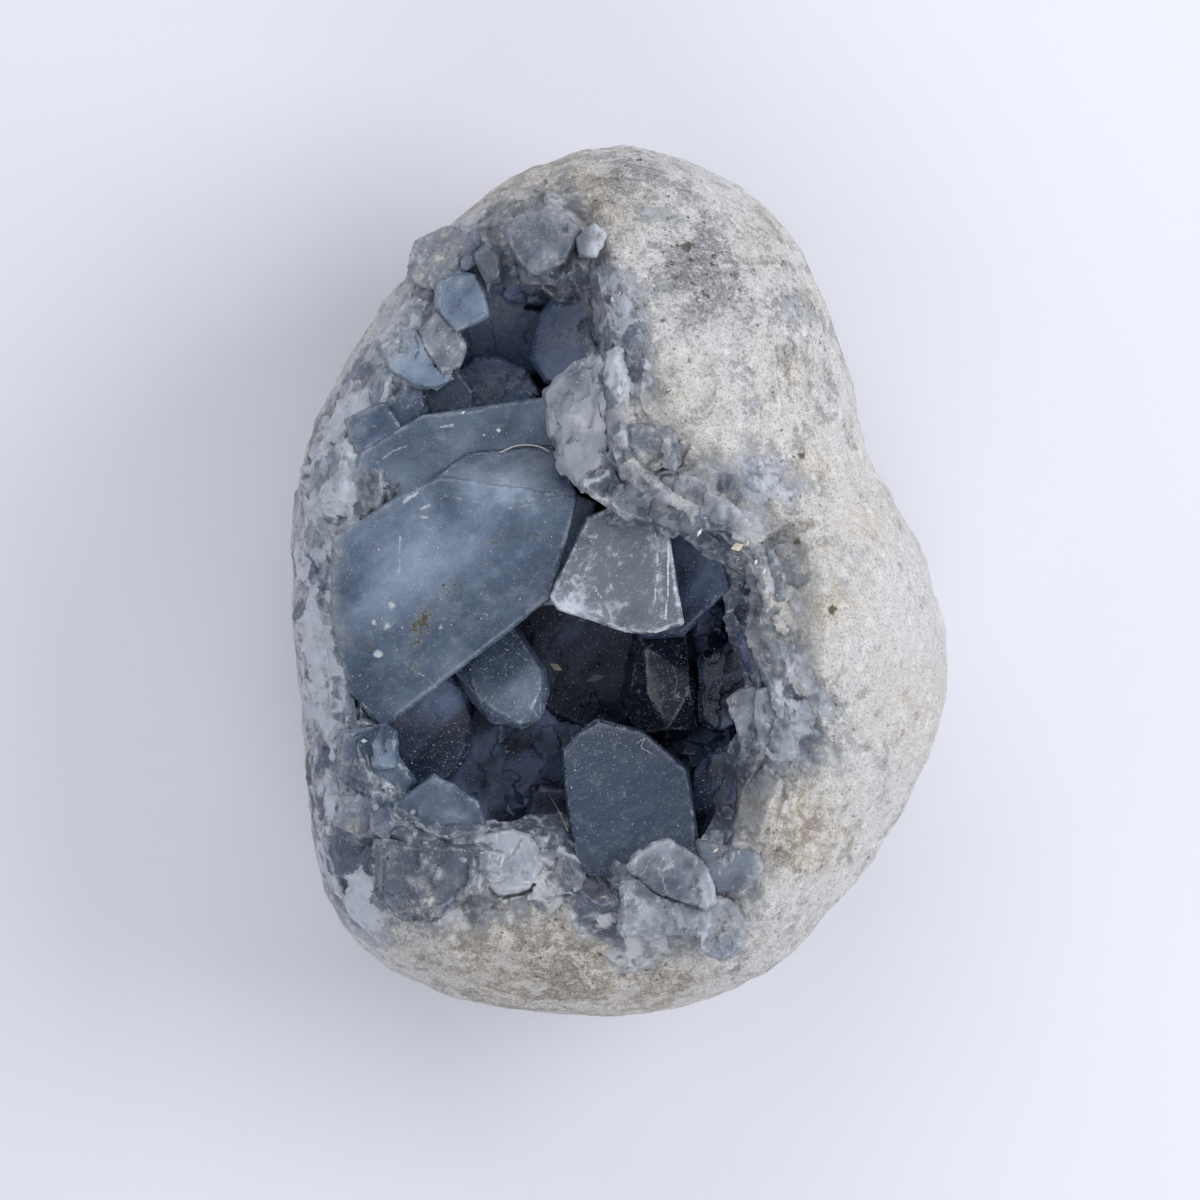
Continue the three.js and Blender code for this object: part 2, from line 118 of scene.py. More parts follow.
def facets(points: Array, size: float, seed: int) -> tuple[Array, Array, Array]:
    """Broken flat facets: the height over a field of cells, each a plane tilted its own way.

    Every lattice cell holds one seed point. A point belongs to the nearest seed, and its height is
    that seed's own height plus its offset from the seed times the seed's own slope.

    Args:
        points: positions, shape (N, 3).
        size: mean width of a facet.
        seed: which field to read.

    Returns:
        Heights, about -1 to 1 for a slope of one cell, a random number of each point's facet, and
        how far each point is from its facet's border, roughly.
    """
    base = np.floor(points / size)
    best = np.full(len(points), np.inf)
    second = np.full(len(points), np.inf)
    height = np.zeros(len(points))
    tone = np.zeros(len(points))
    for step in np.ndindex(3, 3, 3):
        cell = base + np.array(step) - 1
        place = np.stack([lattice(cell, seed + k) for k in range(3)], axis=-1)
        offset = points - (cell + place) * size
        distance = np.linalg.norm(offset, axis=-1)
        slope = np.stack([2 * lattice(cell, seed + 3 + k) - 1 for k in range(3)], axis=-1)
        level = 2 * lattice(cell, seed + 6) - 1
        nearer = distance < best
        second = np.where(nearer, best, np.minimum(second, distance))
        best = np.where(nearer, distance, best)
        own = 0.3 * level + (offset * slope).sum(axis=-1) / size
        height = np.where(nearer, own, height)
        tone = np.where(nearer, lattice(cell, seed + 7), tone)
    return height, tone, (second - best) / 2


def ease(low: float, high: float, value: Array) -> Array:
    """Smooth step: 0 below low, 1 above high, and an S-shaped rise between."""
    share = np.clip((value - low) / (high - low), 0, 1)
    return share * share * (3 - 2 * share)


def unit(vectors: Array) -> Array:
    """Vectors brought to length 1."""
    return vectors / np.linalg.norm(vectors, axis=-1, keepdims=True)


def angles(count: int) -> Array:
    """Equal steps round a full turn."""
    return 2 * math.pi * np.arange(count) / count


def curve(a: Array, b: Array, c: Array, d: Array, f: Array) -> Array:
    """The cubic through b and c that heads from a and to d, at a share f of the way."""
    return 0.5 * (2 * b + (c - a) * f + (2 * a - 5 * b + 4 * c - d) * f**2
                  + (3 * b - a - 3 * c + d) * f**3)


def nearest_on(points: Array, segments: Array) -> tuple[Array, Array]:
    """Distance of each point from the nearest of some line segments, and that nearest place.

    Each point is dropped onto each segment's line, held between its ends, and measured.

    Args:
        points: positions, shape (N, D).
        segments: their ends, shape (E, 2, D).

    Returns:
        Distances of shape (N) and places of shape (N, D).
    """
    nearest = np.full(len(points), np.inf)
    place = points.copy()
    for start, end in segments:
        along = end - start
        share = np.clip((points - start) @ along / (along @ along), 0, 1)
        foot = start + share[:, None] * along
        gap = ((points - foot) ** 2).sum(axis=1)
        nearer = gap < nearest
        nearest = np.where(nearer, gap, nearest)
        place = np.where(nearer[:, None], foot, place)
    return np.sqrt(nearest), place


# ---------------------------------------------------------------- meshes


def make_piece(name: str, points: Array, faces: Array, finish: bpy.types.Material,
               smooth: bool = True, attributes: dict[str, Array] | None = None,
               crease: float = 0.0) -> bpy.types.Object:
    """A mesh object from arrays, at the origin, with its place in its mesh.

    Args:
        name: the piece's name.
        points: corners in millimetres, shape (N, 3).
        faces: corner numbers, shape (F, 3) or (F, 4).
        finish: its material.
        smooth: whether its faces are shaded as one smooth surface.
        attributes: numbers per corner, by name.
        crease: angle past which an edge is shown sharp, or 0 for none.

    Returns:
        The object, linked to the scene.
    """
    mesh = bpy.data.meshes.new(name)
    sides = faces.shape[1]
    mesh.vertices.add(len(points))
    mesh.vertices.foreach_set("co", (points * MM).astype(np.float32).ravel())
    mesh.loops.add(faces.size)
    mesh.loops.foreach_set("vertex_index", faces.astype(np.int32).ravel())
    mesh.polygons.add(len(faces))
    mesh.polygons.foreach_set("loop_start", np.arange(0, faces.size, sides, dtype=np.int32))
    mesh.polygons.foreach_set("use_smooth", np.full(len(faces), smooth))
    for key, values in (attributes or {}).items():
        layer = mesh.attributes.new(key, "FLOAT", "POINT")
        layer.data.foreach_set("value", values.astype(np.float32).ravel())
    mesh.update(calc_edges=True)
    mesh.validate()
    if crease:
        mesh.set_sharp_from_angle(angle=crease)
    mesh.materials.append(finish)
    return placed(name, mesh)


def placed(name: str, data: bpy.types.ID) -> bpy.types.Object:
    """A new object of this data, linked to the scene."""
    thing = bpy.data.objects.new(name, data)
    bpy.context.scene.collection.objects.link(thing)
    return thing


def quads_between(rows: Array, columns: Array, next_row: Array, next_column: Array,
                  width: int) -> Array:
    """Corner numbers of a grid's quads, from its rows and columns and the ones after them."""
    quads = np.stack([rows * width + columns, next_row * width + columns,
                      next_row * width + next_column, rows * width + next_column], axis=-1)
    return quads.reshape(-1, 4)


def declare(piece: bpy.types.Object, nodes: tuple[str, ...] = ()) -> None:
    """Says what a piece rides on and which solids it stands for.

    Args:
        piece: the piece.
        nodes: the solids that it stands for, if any.
    """
    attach(piece, "root")
    if nodes:
        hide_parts(*nodes)
    log.info("%s: %d corners", piece.name, len(piece.data.vertices))


def turns(rng: np.random.Generator, count: int) -> Array:
    """Random turns as matrices, from unit quaternions.

    Args:
        rng: source of the quaternions.
        count: how many turns.

    Returns:
        Matrices of shape (count, 3, 3).
    """
    w, x, y, z = unit(rng.normal(size=(count, 4))).T
    rows = [
        [1 - 2 * (y * y + z * z), 2 * (x * y - z * w), 2 * (x * z + y * w)],
        [2 * (x * y + z * w), 1 - 2 * (x * x + z * z), 2 * (y * z - x * w)],
        [2 * (x * z - y * w), 2 * (y * z + x * w), 1 - 2 * (x * x + y * y)],
    ]
    return np.array(rows).transpose(2, 0, 1)


def scatter(template: tuple[Array, Array], places: Array, frames: Array) -> tuple[Array, Array]:
    """Copies of one small shape, joined: each corner is a place plus a matrix times the template.

    Args:
        template: the shape's corners (V, 3), or one set for each copy (N, V, 3), and its faces.
        places: where each copy goes, (N, 3).
        frames: turn and size of each copy, (N, 3, 3).

    Returns:
        Corners and faces of the joined mesh.
    """
    corners, faces = template
    if corners.ndim == 2:
        corners = np.broadcast_to(corners, (len(places), *corners.shape))
    moved = np.einsum("nij,nvj->nvi", frames, corners) + places[:, None, :]
    shift = corners.shape[1] * np.arange(len(places))
    joined = faces[None, :, :] + shift[:, None, None]
    return moved.reshape(-1, 3), joined.reshape(-1, faces.shape[1])


def eight_sided() -> tuple[Array, Array]:
    """A regular octahedron of radius 1."""
    corners = np.array([(1, 0, 0), (-1, 0, 0), (0, 1, 0), (0, -1, 0), (0, 0, 1), (0, 0, -1.0)])
    faces = np.array([(0, 2, 4), (2, 1, 4), (1, 3, 4), (3, 0, 4),
                      (2, 0, 5), (1, 2, 5), (3, 1, 5), (0, 3, 5)])
    return corners, faces


# ---------------------------------------------------------------- shader maths


class Value:
    """An output socket of a shader. Python's operators on it add Math nodes."""

    def __init__(self, shader: "Shader", socket: bpy.types.NodeSocket) -> None:
        """Keeps the shader that the socket belongs to."""
        self.shader = shader
        self.socket = socket

    def _maths(self, operation: str, *terms: "Value | float") -> "Value":
        """A Math node of that operation on these terms."""
        return self.shader.node("Math", {"operation": operation}, dict(enumerate(terms)))

    def __add__(self, other: "Value | float") -> "Value":
        """Sum."""
        return self._maths("ADD", self, other)

    def __sub__(self, other: "Value | float") -> "Value":
        """Difference."""
        return self._maths("SUBTRACT", self, other)

    def __rsub__(self, other: float) -> "Value":
        """Difference from a number."""
        return self._maths("SUBTRACT", other, self)

    def __mul__(self, other: "Value | float") -> "Value":
        """Product."""
        return self._maths("MULTIPLY", self, other)

    __radd__ = __add__
    __rmul__ = __mul__

    def ramp(self, low: float, high: float, start: float = 0.0, end: float = 1.0) -> "Value":
        """S-shaped change from start to end as this value goes from low to high."""
        return self.shader.node("MapRange", {"interpolation_type": "SMOOTHSTEP"},
                                {"Value": self, "From Min": low, "From Max": high,
                                 "To Min": start, "To Max": end})


class Shader:
    """A material and short ways to add nodes to it."""

    def __init__(self, name: str) -> None:
        """Starts an empty material with its output node."""
        self.material = bpy.data.materials.new(name)
        self.material.use_nodes = True
        self.tree = self.material.node_tree
        self.tree.nodes.clear()
        self.output = self.tree.nodes.new("ShaderNodeOutputMaterial")

    def node(self, kind: str, settings: dict | None = None, inputs: dict | None = None,
             output: int | str = 0) -> Value:
        """Adds a node.

        Args:
            kind: its type, without the ShaderNode in front.
            settings: its properties, which are set before its sockets.
            inputs: a number, colour or Value for each socket, by name or number.
            output: the output socket that is returned, by name or number.

        Returns:
            That output.
        """
        node = self.tree.nodes.new("ShaderNode" + kind)
        for key, value in (settings or {}).items():
            setattr(node, key, value)
        for key, value in (inputs or {}).items():
            if isinstance(value, Value):
                self.tree.links.new(value.socket, node.inputs[key])
            else:
                node.inputs[key].default_value = value
        return Value(self, node.outputs[output])

    def mm(self) -> Value:
        """Object coordinates in millimetres."""
        place = self.node("TexCoord", output="Object")
        return self.node("VectorMath", {"operation": "SCALE"}, {0: place, "Scale": 1 / MM})

    def noise(self, place: Value, size: float, detail: float = 3.0, rough: float = 0.5,
              warp: float = 0.0) -> Value:
        """Noise from 0 to 1 whose largest lumps are `size` millimetres across."""
        return self.node("TexNoise", {"noise_dimensions": "3D"},
                         {"Vector": place, "Scale": 1 / size, "Detail": detail,
                          "Roughness": rough, "Distortion": warp})

    def stretch(self, place: Value, turn: Colour, size: Colour) -> Value:
        """Coordinates turned, then scaled along each axis."""
        return self.node("Mapping", {"vector_type": "TEXTURE"},
                         {"Vector": place, "Rotation": turn, "Scale": size})

    def attributes(self, *names: str) -> list[Value]:
        """Numbers that the mesh carries on its corners, by name."""
        return [self.node("Attribute", {"attribute_name": name}, output="Fac") for name in names]

    def mix(self, factor: Value | float, first: Value | Colour, second: Value | Colour,
            blend: str = "MIX") -> Value:
        """A colour between two others."""
        colours = [c if isinstance(c, Value) else (*c, 1.0) for c in (first, second)]
        return self.node("Mix", {"data_type": "RGBA", "blend_type": blend},
                         {0: factor, 6: colours[0], 7: colours[1]}, output=2)

    def layers(self, base: Value | Colour, *layers: tuple) -> Value:
        """Colours over a base, one after another: each row is a factor, a colour and its blend."""
        for factor, colour, *blend in layers:
            base = self.mix(factor, base, colour, *blend)
        return base

    def bump(self, height: Value, depth: float) -> Value:
        """A normal bent by a height of `depth` millimetres."""
        return self.node("Bump", inputs={"Height": height, "Distance": depth * MM,
                                         "Strength": 1.0})

    def principled(self, **inputs: "Value | float | Colour") -> Value:
        """The Principled shader.

        Args:
            inputs: its sockets, an underscore for each space in a name.

        Returns:
            Its output.
        """
        named = {}
        for key, value in inputs.items():
            colour = isinstance(value, tuple) and len(value) == 3 and key.endswith("Color")
            named[key.replace("_", " ")] = (*value, 1.0) if colour else value
        return self.node("BsdfPrincipled", inputs=named, output="BSDF")

    def finish(self, surface: Value, volume: Value | None = None) -> bpy.types.Material:
        """Connects the surface, and the volume if any, and hands back the material."""
        self.tree.links.new(surface.socket, self.output.inputs["Surface"])
        if volume is not None:
            self.tree.links.new(volume.socket, self.output.inputs["Volume"])
        return self.material


# ---------------------------------------------------------------- finishes


@dataclass(frozen=True)
class RindFinish:
    """Weathered, fine-grained rind: chalky white, grey-blue where it is crystalline."""

    white: Colour = (0.93, 0.93, 0.935)
    chalk: Colour = (0.98, 0.98, 0.985)
    grey: Colour = (0.42, 0.43, 0.47)
    smoke: Colour = (0.30, 0.32, 0.38)
    dark: Colour = (0.16, 0.165, 0.18)
    blue: Colour = (0.105, 0.135, 0.195)
    pale: Colour = (0.45, 0.49, 0.58)
    vein: Colour = (0.70, 0.75, 0.85)
    cream: Colour = (0.66, 0.59, 0.46)
    brown: Colour = (0.13, 0.10, 0.065)
    hollow: Colour = (0.020, 0.030, 0.052)
    # What stains are multiplied by, on the crust and on crystalline ground.
    warmth: Colour = (1.0, 0.94, 0.87)
    glow: Colour = (1.0, 0.95, 0.86)

    def surface(self, s: Shader) -> Value:
        """Builds the rind's shader from the mesh's masks.

        Args:
            s: the shader.

        Returns:
            The surface.
        """
        place = s.mm()
        crystalline, stain, shade, hollow, glassy, tone, edge, spots, frost = s.attributes(
            "crystalline", "stain", "shade", "hollow", "glassy", "tone", "edge", "spots", "frost")
        big = s.noise(place, 14, 4, 0.6, 0.3)
        middle = s.noise(place, 4.5, 6, 0.70, 0.25)
        fine = s.noise(place, 1.3, 6, 0.78, 0.15)
        grit = s.noise(place, 0.42, 3, 0.7)
        ground = crystalline + glassy
        # Chalk with cloudy grey patches, then streaks, grit and pits over both.
        patch = (middle * 0.7 + big * 0.5 + (fine - 0.5) * 0.6 + shade * 0.20).ramp(0.58, 0.86)
        veil = s.noise(place, 6, 6, 0.68, 0.4) + (fine - 0.5) * 0.35 + shade * 0.06
        chalk = (s.noise(place, 2.4, 6, 0.78, 0.3) + (big - 0.5) * -0.5).ramp(0.49, 0.61)
        stained = ((stain + (big + (fine - 0.5) * 0.4).ramp(0.54, 0.74) * 0.5)
                   * (middle + (fine - 0.5)).ramp(0.40, 0.60) * crystalline.ramp(0.3, 0.7, 1, 0))
        # Thin crevice lines in the crumpled crust, painted darker as shade in the cracks and sunk
        # by the bump.
        crumple = s.noise(place, 2.2, 6, 0.78, 0.3) - 0.5
        crevice_shade = ((crumple * crumple).ramp(0.0, 0.0016, 1.0, 0.0)
                   * (middle + shade * 0.12).ramp(0.50, 0.62))
        pits = (s.noise(place, 1.5, 4, 0.70) + shade * 0.09).ramp(0.655, 0.71)
        pits = pits + (spots + (fine - 0.5) * 1.2).ramp(0.45, 0.75)
        crust = s.layers(
            self.white, (patch * 0.75, self.grey), (veil.ramp(0.57, 0.70) * 0.5, self.smoke),
            (chalk * 0.8, self.chalk), (stained * 0.8, self.cream),
            (stain, self.warmth, "MULTIPLY"), (crevice_shade * 0.4, self.dark),
            ((fine + shade * 0.10).ramp(0.57, 0.72) * 0.6, self.dark),
            (grit.ramp(0.52, 0.62) * 0.7, self.grey), (grit.ramp(0.50, 0.34) * 0.8, self.chalk),
            (pits * 0.85, self.brown))
        # Crystalline ground: each facet has its own tone, clouded across the facets.
        cloud = s.noise(s.stretch(place, (0.5, 0.3, 0.4), (1.0, 1.7, 1.3)), 5, 6, 0.66, 0.2)
        light = (tone * 0.85 + 0.48 + (cloud - 0.5) * 1.1 + (fine - 0.5) * 1.3 + ground * -0.38
                 + frost * 0.4)
        fog = (middle * 0.45 + cloud * 0.35 + tone * 0.6 - 0.125 + (fine - 0.5) * 0.6
               + frost * 0.07)
        body = s.layers(
            self.blue, (light.ramp(0.0, 1.0), self.pale), (fog.ramp(0.49, 0.73) * 0.75, self.vein),
            (edge * middle.ramp(0.46, 0.60) * 0.5, self.vein),
            ((stain + 0.1) * 0.8, self.glow, "MULTIPLY"),
            # Chalk white where the frost mark is strongest: a painted glint over the glint crystal,
            # and white patches on the west band.
            ((frost + (fine - 0.5) * 1.6).ramp(1.0, 1.5) * 0.8, self.chalk),
            (pits * 0.5, self.dark), (grit.ramp(0.52, 0.70) * 0.3, self.vein))
        shown = (ground + (middle - 0.5) * 2.0 + (cloud - 0.5) * 0.8
                 + (fine - 0.5) * 1.2).ramp(0.25, 0.85)
        colour = s.layers(crust, (shown, body), (hollow, self.hollow))
        height = s.noise(place, 2.0, 8, 0.80, 0.6) * (shown * -0.55 + 1.0) + pits * -0.2
        height = height + crevice_shade * (shown * 0.15 - 0.15)
        return s.principled(Base_Color=colour, Roughness=shown.ramp(0, 1, 0.85, 0.45),
                            Normal=s.bump(height, 1.35), Specular_IOR_Level=0.35)

    def material(self) -> bpy.types.Material:
        """Builds the material."""
        s = Shader("rind")
        return s.finish(self.surface(s))


class Clearness(Enum):
    """How clear a crystal is: the name of its slot and of its material."""

    MILKY = "milky_celestite"
    CLEAR = "clear_celestite"
    DEEP = "deep_celestite"
    FROSTED = "frosted_celestite"


@dataclass(frozen=True)
class CelestiteFinish:
    """One clearness of celestite: tinted, cloudy inside, pale along its cracks, and pale along its
    edges, as frosted wear and a painted highlight.
    """

    clearness: Clearness
    dark: Colour
    light: Colour
    frost: Colour
    cloud: float
    frosting: float
    edge_frost_and_highlight: float
    transmission: float
    roughness: float
    absorption: Colour
    density: float
    crack: float
    gloss: float
    white: Colour = (0.70, 0.74, 0.80)
    olive: Colour = (0.085, 0.080, 0.045)
    ior: float = 1.62

    def surface(self, s: Shader, whole: bool) -> Value:
        """Builds the crystal's shader; it reads the mesh's tone, edge, haze, white and stain.

        Args:
            s: the shader.
            whole: whether the veils are mixed into one Principled shader, or lie over it as one of
                their own.

        Returns:
            The surface.
        """
        place = s.mm()
        tone, edge, haze, white, stain = s.attributes("tone", "edge", "haze", "white", "stain")
        flow = s.stretch(place, (0.2, 0.3, -0.75), (1.0, 3.2, 1.6))
        cloud = s.noise(flow, 7, 4, 0.5, 0.6)
        fog = s.noise(place, 3, 5, 0.6, 0.8)
        fine = s.noise(place, 0.9, 4, 0.7)
        light = tone + haze + (cloud - 0.5) * (2.0 * self.cloud) + (fog - 0.5) * (0.9 * self.cloud)
        light = light + (fine - 0.5) * 0.35
        body = s.mix(light.ramp(-0.15, 1.15), self.dark, self.light)
        # Veils: faint straight growth lines, thread-like cracks, frosting, pale edges, which are
        # partly a painted highlight, and marks.
        lines = s.noise(s.stretch(place, (0.1, 0.2, -0.6), (0.5, 14.0, 2.0)), 1.0, 2, 0.5)
        thread = s.noise(flow, 5, 4, 0.6, 1.5) - 0.5
        thread = (thread * thread).ramp(0.0, 0.00012, 1.0, 0.0)
        cracks = thread * s.noise(place, 6, 3, 0.6).ramp(0.50, 0.62) * self.crack
        frosted = (s.noise(place, 1.5, 6, 0.7) + (fog - 0.5) * 0.8 + haze * 0.2).ramp(0.50, 0.82)
        # Pale edges: patchy frosted wear along each sharp edge, with a painted highlight there.
        rim = edge * s.noise(place, 2.6, 4, 0.7).ramp(0.38, 0.60)
        marks = (white + (fine - 0.5) * 1.1).ramp(0.40, 1.10)
        specks = (stain + (s.noise(place, 0.9, 5, 0.75) - 0.5) * 2.6).ramp(0.66, 0.86)
        veil = s.layers(self.frost, (marks, self.white), (specks, self.olive))
        frosted = frosted + haze.ramp(0.2, 1.3)
        sparkle = s.noise(place, 0.36, 2, 0.6).ramp(0.60, 0.72)
        veiled = (lines.ramp(0.60, 0.80) * 0.16 + cracks + frosted * self.frosting
                  + rim * self.edge_frost_and_highlight + marks + specks * 0.85 + sparkle * 0.35).ramp(0, 1)
        height = s.noise(flow, 5, 4, 0.5) + s.noise(flow, 0.8, 4, 0.6) * 0.12 + frosted * 0.1
        common = {"Normal": s.bump(height, 0.28), "Specular_IOR_Level": self.gloss,
                  "IOR": self.ior}
        roughness = (veiled + fog * 0.3).ramp(0, 1, self.roughness, 0.6)
        if whole:
            return s.principled(Base_Color=s.mix(veiled, body, veil), Roughness=roughness,
                                Transmission_Weight=self.transmission, **common)
        inside = s.principled(Base_Color=body, Roughness=roughness,
                              Transmission_Weight=self.transmission, **common)
        outside = s.principled(Base_Color=veil, Roughness=0.6, **common)
        return s.node("MixShader", {}, {0: veiled, 1: inside, 2: outside})

    def material(self, rind: RindFinish | None = None) -> bpy.types.Material:
        """Builds the material.

        Args:
            rind: what the crystal turns into where the mesh says rocky, if it does.

        Returns:
            The material.
        """
        s = Shader(self.clearness.value + ("_at_rim" if rind else ""))
        surface = self.surface(s, rind is not None)
        if rind:
            surface = s.node("MixShader", {}, {0: s.attributes("rocky")[0], 1: surface,
                                               2: rind.surface(s)})
        volume = s.node("VolumeAbsorption", {}, {"Color": (*self.absorption, 1.0),
                                                 "Density": self.density}, "Volume")
        return s.finish(surface, volume)


CELESTITE = (
    CelestiteFinish(
        Clearness.MILKY, dark=(0.048, 0.080, 0.145), light=(0.375, 0.47, 0.64),
        frost=(0.62, 0.68, 0.77), cloud=0.45, frosting=0.20, edge_frost_and_highlight=0.45, transmission=0.30,
        roughness=0.22, absorption=(0.45, 0.62, 0.90), density=60.0, crack=0.12, gloss=0.35),
    CelestiteFinish(
        Clearness.CLEAR, dark=(0.05, 0.09, 0.18), light=(0.62, 0.71, 0.86),
        frost=(0.62, 0.67, 0.78), cloud=0.8, frosting=0.42, edge_frost_and_highlight=0.8, transmission=0.76,
        roughness=0.08, absorption=(0.62, 0.76, 0.96), density=26.0, crack=0.25, gloss=0.5),
    CelestiteFinish(
        Clearness.DEEP, dark=(0.009, 0.018, 0.046), light=(0.30, 0.41, 0.70),
        frost=(0.28, 0.36, 0.55), cloud=0.5, frosting=0.12, edge_frost_and_highlight=0.30, transmission=0.35,
        roughness=0.20, absorption=(0.28, 0.45, 0.80), density=90.0, crack=0.1, gloss=0.16),
    CelestiteFinish(
        Clearness.FROSTED, dark=(0.080, 0.105, 0.150), light=(0.43, 0.47, 0.55),
        frost=(0.72, 0.75, 0.81), cloud=0.8, frosting=0.45, edge_frost_and_highlight=0.45, transmission=0.20,
        roughness=0.34, absorption=(0.55, 0.70, 0.90), density=60.0, crack=0.5, gloss=0.35),
)


@dataclass(frozen=True)
class PlainFinish:
    """One even colour with a little variation: dust, fibres and the floor."""

    name: str
    colour: Colour
    other: Colour
    size: float
    roughness: float

    def material(self) -> bpy.types.Material:
        """Builds the material: noise of one size between two near colours."""
        s = Shader(self.name)
        colour = s.mix(s.noise(s.mm(), self.size, 3, 0.5), self.colour, self.other)
        return s.finish(s.principled(Base_Color=colour, Roughness=self.roughness))


# ---------------------------------------------------------------- the rock


@dataclass
class Nodule:
    """The nodule's shape: radii round a centre, a domed section and a bowl-shaped hollow."""

    # Radii of the widest outline and of the hollow's rim, at equal steps round from +X.
    girth: tuple[float, ...] = (62, 55.5, 60, 70, 74, 68, 58.5, 53, 50, 48.5, 51, 60, 74.5, 76.5,
                                77.5, 76, 71, 68)
    rim: tuple[float, ...] = (35.5, 32.5, 29, 26.5, 24.5, 24, 25.5, 30, 38, 59, 61, 58.5, 51.5,
                              48.5, 47, 44.5, 42, 41.5, 42.5, 44, 45, 48, 52.5, 56, 57.5, 56.5,
                              54, 54, 62, 63, 59, 52, 49, 43, 38, 36.5)
    # How far the crystalline band reaches out from the rim, at equal steps round from +X.
    band: tuple[float, ...] = (7, 7, 8, 9, 16, 8, 9, 13, 16, 17, 17, 18, 17, 11, 8, 7, 7, 7)
    overlap: float = 1.25
    girth_height: float = 37.0
    dome_height: float = 44.0
    dome_swing: float = 4.0
    high_side: float = math.radians(20)
    fullness: float = 2.2
    flat_share: float = 0.3
    floor_height: float = 30.0
    floor_rise: float = 0.12
    # How far the worn lip has sunk, at equal steps round from +X, and over what width.
    slump: tuple[float, ...] = (5, 4.5, 4, 3.5, 2.5, 1.5, 1, 1, 1, 1, 1, 1, 1, 1, 1.5, 2.5, 4, 5)
    slump_width: float = 7.0
    # The ground is crystalline near the rim, above the first height and wholly above the second.
    most_crystalline: float = 0.85
    crystal_heights: tuple[float, float] = (33.0, 48.0)
    hollow_lift: float = 15.0
    band_fade: tuple[float, float] = (0.1, 1.25)
    # Where the broken crust lies over the crystals, 1, and where it ducks under them, 0.
    drape: tuple[float, ...] = (1, 1, 1, 0.9, 0.6, 0.2, 0, 0, 0, 0, 0, 0, 0, 0, 0.2, 0.6, 1, 1)
    cad_columns: int = 45
    centre: Array = field(init=False)

    def __post_init__(self) -> None:
        """Finds the centre of the radii: the rock's box is the girth's box, moved there."""
        low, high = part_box("matrix")
        angle = angles(self.cad_columns)
        reach = self.around(self.girth, angle)
        ring = np.stack([reach * np.cos(angle), reach * np.sin(angle)])
        own = (ring.min(axis=1) + ring.max(axis=1)) / 2
        packed = np.array([(low[k] + high[k]) / 2 / MM for k in range(2)])
        self.centre = packed - own

    def around(self, values: tuple[float, ...], angle: Array) -> Array:
        """Reads a closed list of numbers, which stand at equal steps round from +X, at any angle.

        Args:
            values: the numbers.
            angle: where to read them.

        Returns:
            Numbers on the smooth curve through the list's own.
        """
        ring = np.array(values, float)
        step = len(ring) * angle / (2 * math.pi)
        index = np.floor(step).astype(int)
        near = (ring[(index + k) % len(ring)] for k in (-1, 0, 1, 2))
        return curve(*near, step - index)

    def section(self, t: Array) -> Array:
        """Height share of the section at a share t of the girth."""
        return (1 - np.minimum(t, 1) ** self.fullness) ** (1 / self.fullness)

    def dome(self, angle: Array, t: Array) -> Array:
        """Height of the dome at a share t of the girth."""
        rise = self.dome_height + self.dome_swing * np.cos(angle - self.high_side)
        return self.girth_height + rise * self.section(t)

    def bowl(self, angle: Array, radius: Array) -> Array:
        """The hollow's wall and floor: a quarter of an ellipse from the lip down to the floor.

        Args:
            angle: angles round the centre.
            radius: radii inside the rim.

        Returns:
            Heights.
        """
        rim = self.around(self.rim, angle)
        lip = self.dome(angle, rim / self.around(self.girth, angle))
        floor = self.floor_height + self.floor_rise * radius * np.sin(angle)
        depth = np.sqrt(np.maximum(0, 1 - (radius / rim) ** 2))
        return lip + (floor - lip) * depth

    def sunk(self, angle: Array, radius: Array) -> Array:
        """How far the surface has sunk at a radius: most at the rim, in a bell curve across it."""
        past = radius - self.around(self.rim, angle)
        return self.around(self.slump, angle) * np.exp(-((past / self.slump_width) ** 2))

    def crust(self, angle: Array, radius: Array) -> Array:
        """Height of the worn surface at a radius outside the rim."""
        return self.dome(angle, radius / self.around(self.girth, angle)) - self.sunk(angle, radius)

    def reach_of_band(self, angle: Array) -> Array:
        """Width of the crystalline band, which ends before the girth."""
        room = self.around(self.girth, angle) * 0.99 - self.around(self.rim, angle)
        return np.minimum(self.around(self.band, angle), room / self.overlap)

    def crystalline(self, points: Array) -> Array:
        """How crystalline the ground is: less across the band, and none low outside."""
        past = self.past_rim(points)
        share = past / self.around(self.band, self.angle(points))
        above = ease(*self.crystal_heights, points[..., 2] + self.hollow_lift * (past < 0))
        return self.most_crystalline * above * (1 - ease(*self.band_fade, share))

    def angle(self, points: Array) -> Array:
        """Angle of points round the centre, seen from above."""
        return np.arctan2(points[..., 1] - self.centre[1], points[..., 0] - self.centre[0])

    def past_rim(self, points: Array) -> Array:
        """How far points lie outside the rim; less than 0 inside the hollow."""
        radius = np.hypot(points[..., 0] - self.centre[0], points[..., 1] - self.centre[1])
        return radius - self.around(self.rim, self.angle(points))

    def turned(self, angle: Array, radius: Array, height: Array) -> Array:
        """Points from their angles, radii and heights."""
        return np.stack([self.centre[0] + radius * np.cos(angle),
                         self.centre[1] + radius * np.sin(angle), height], axis=-1)

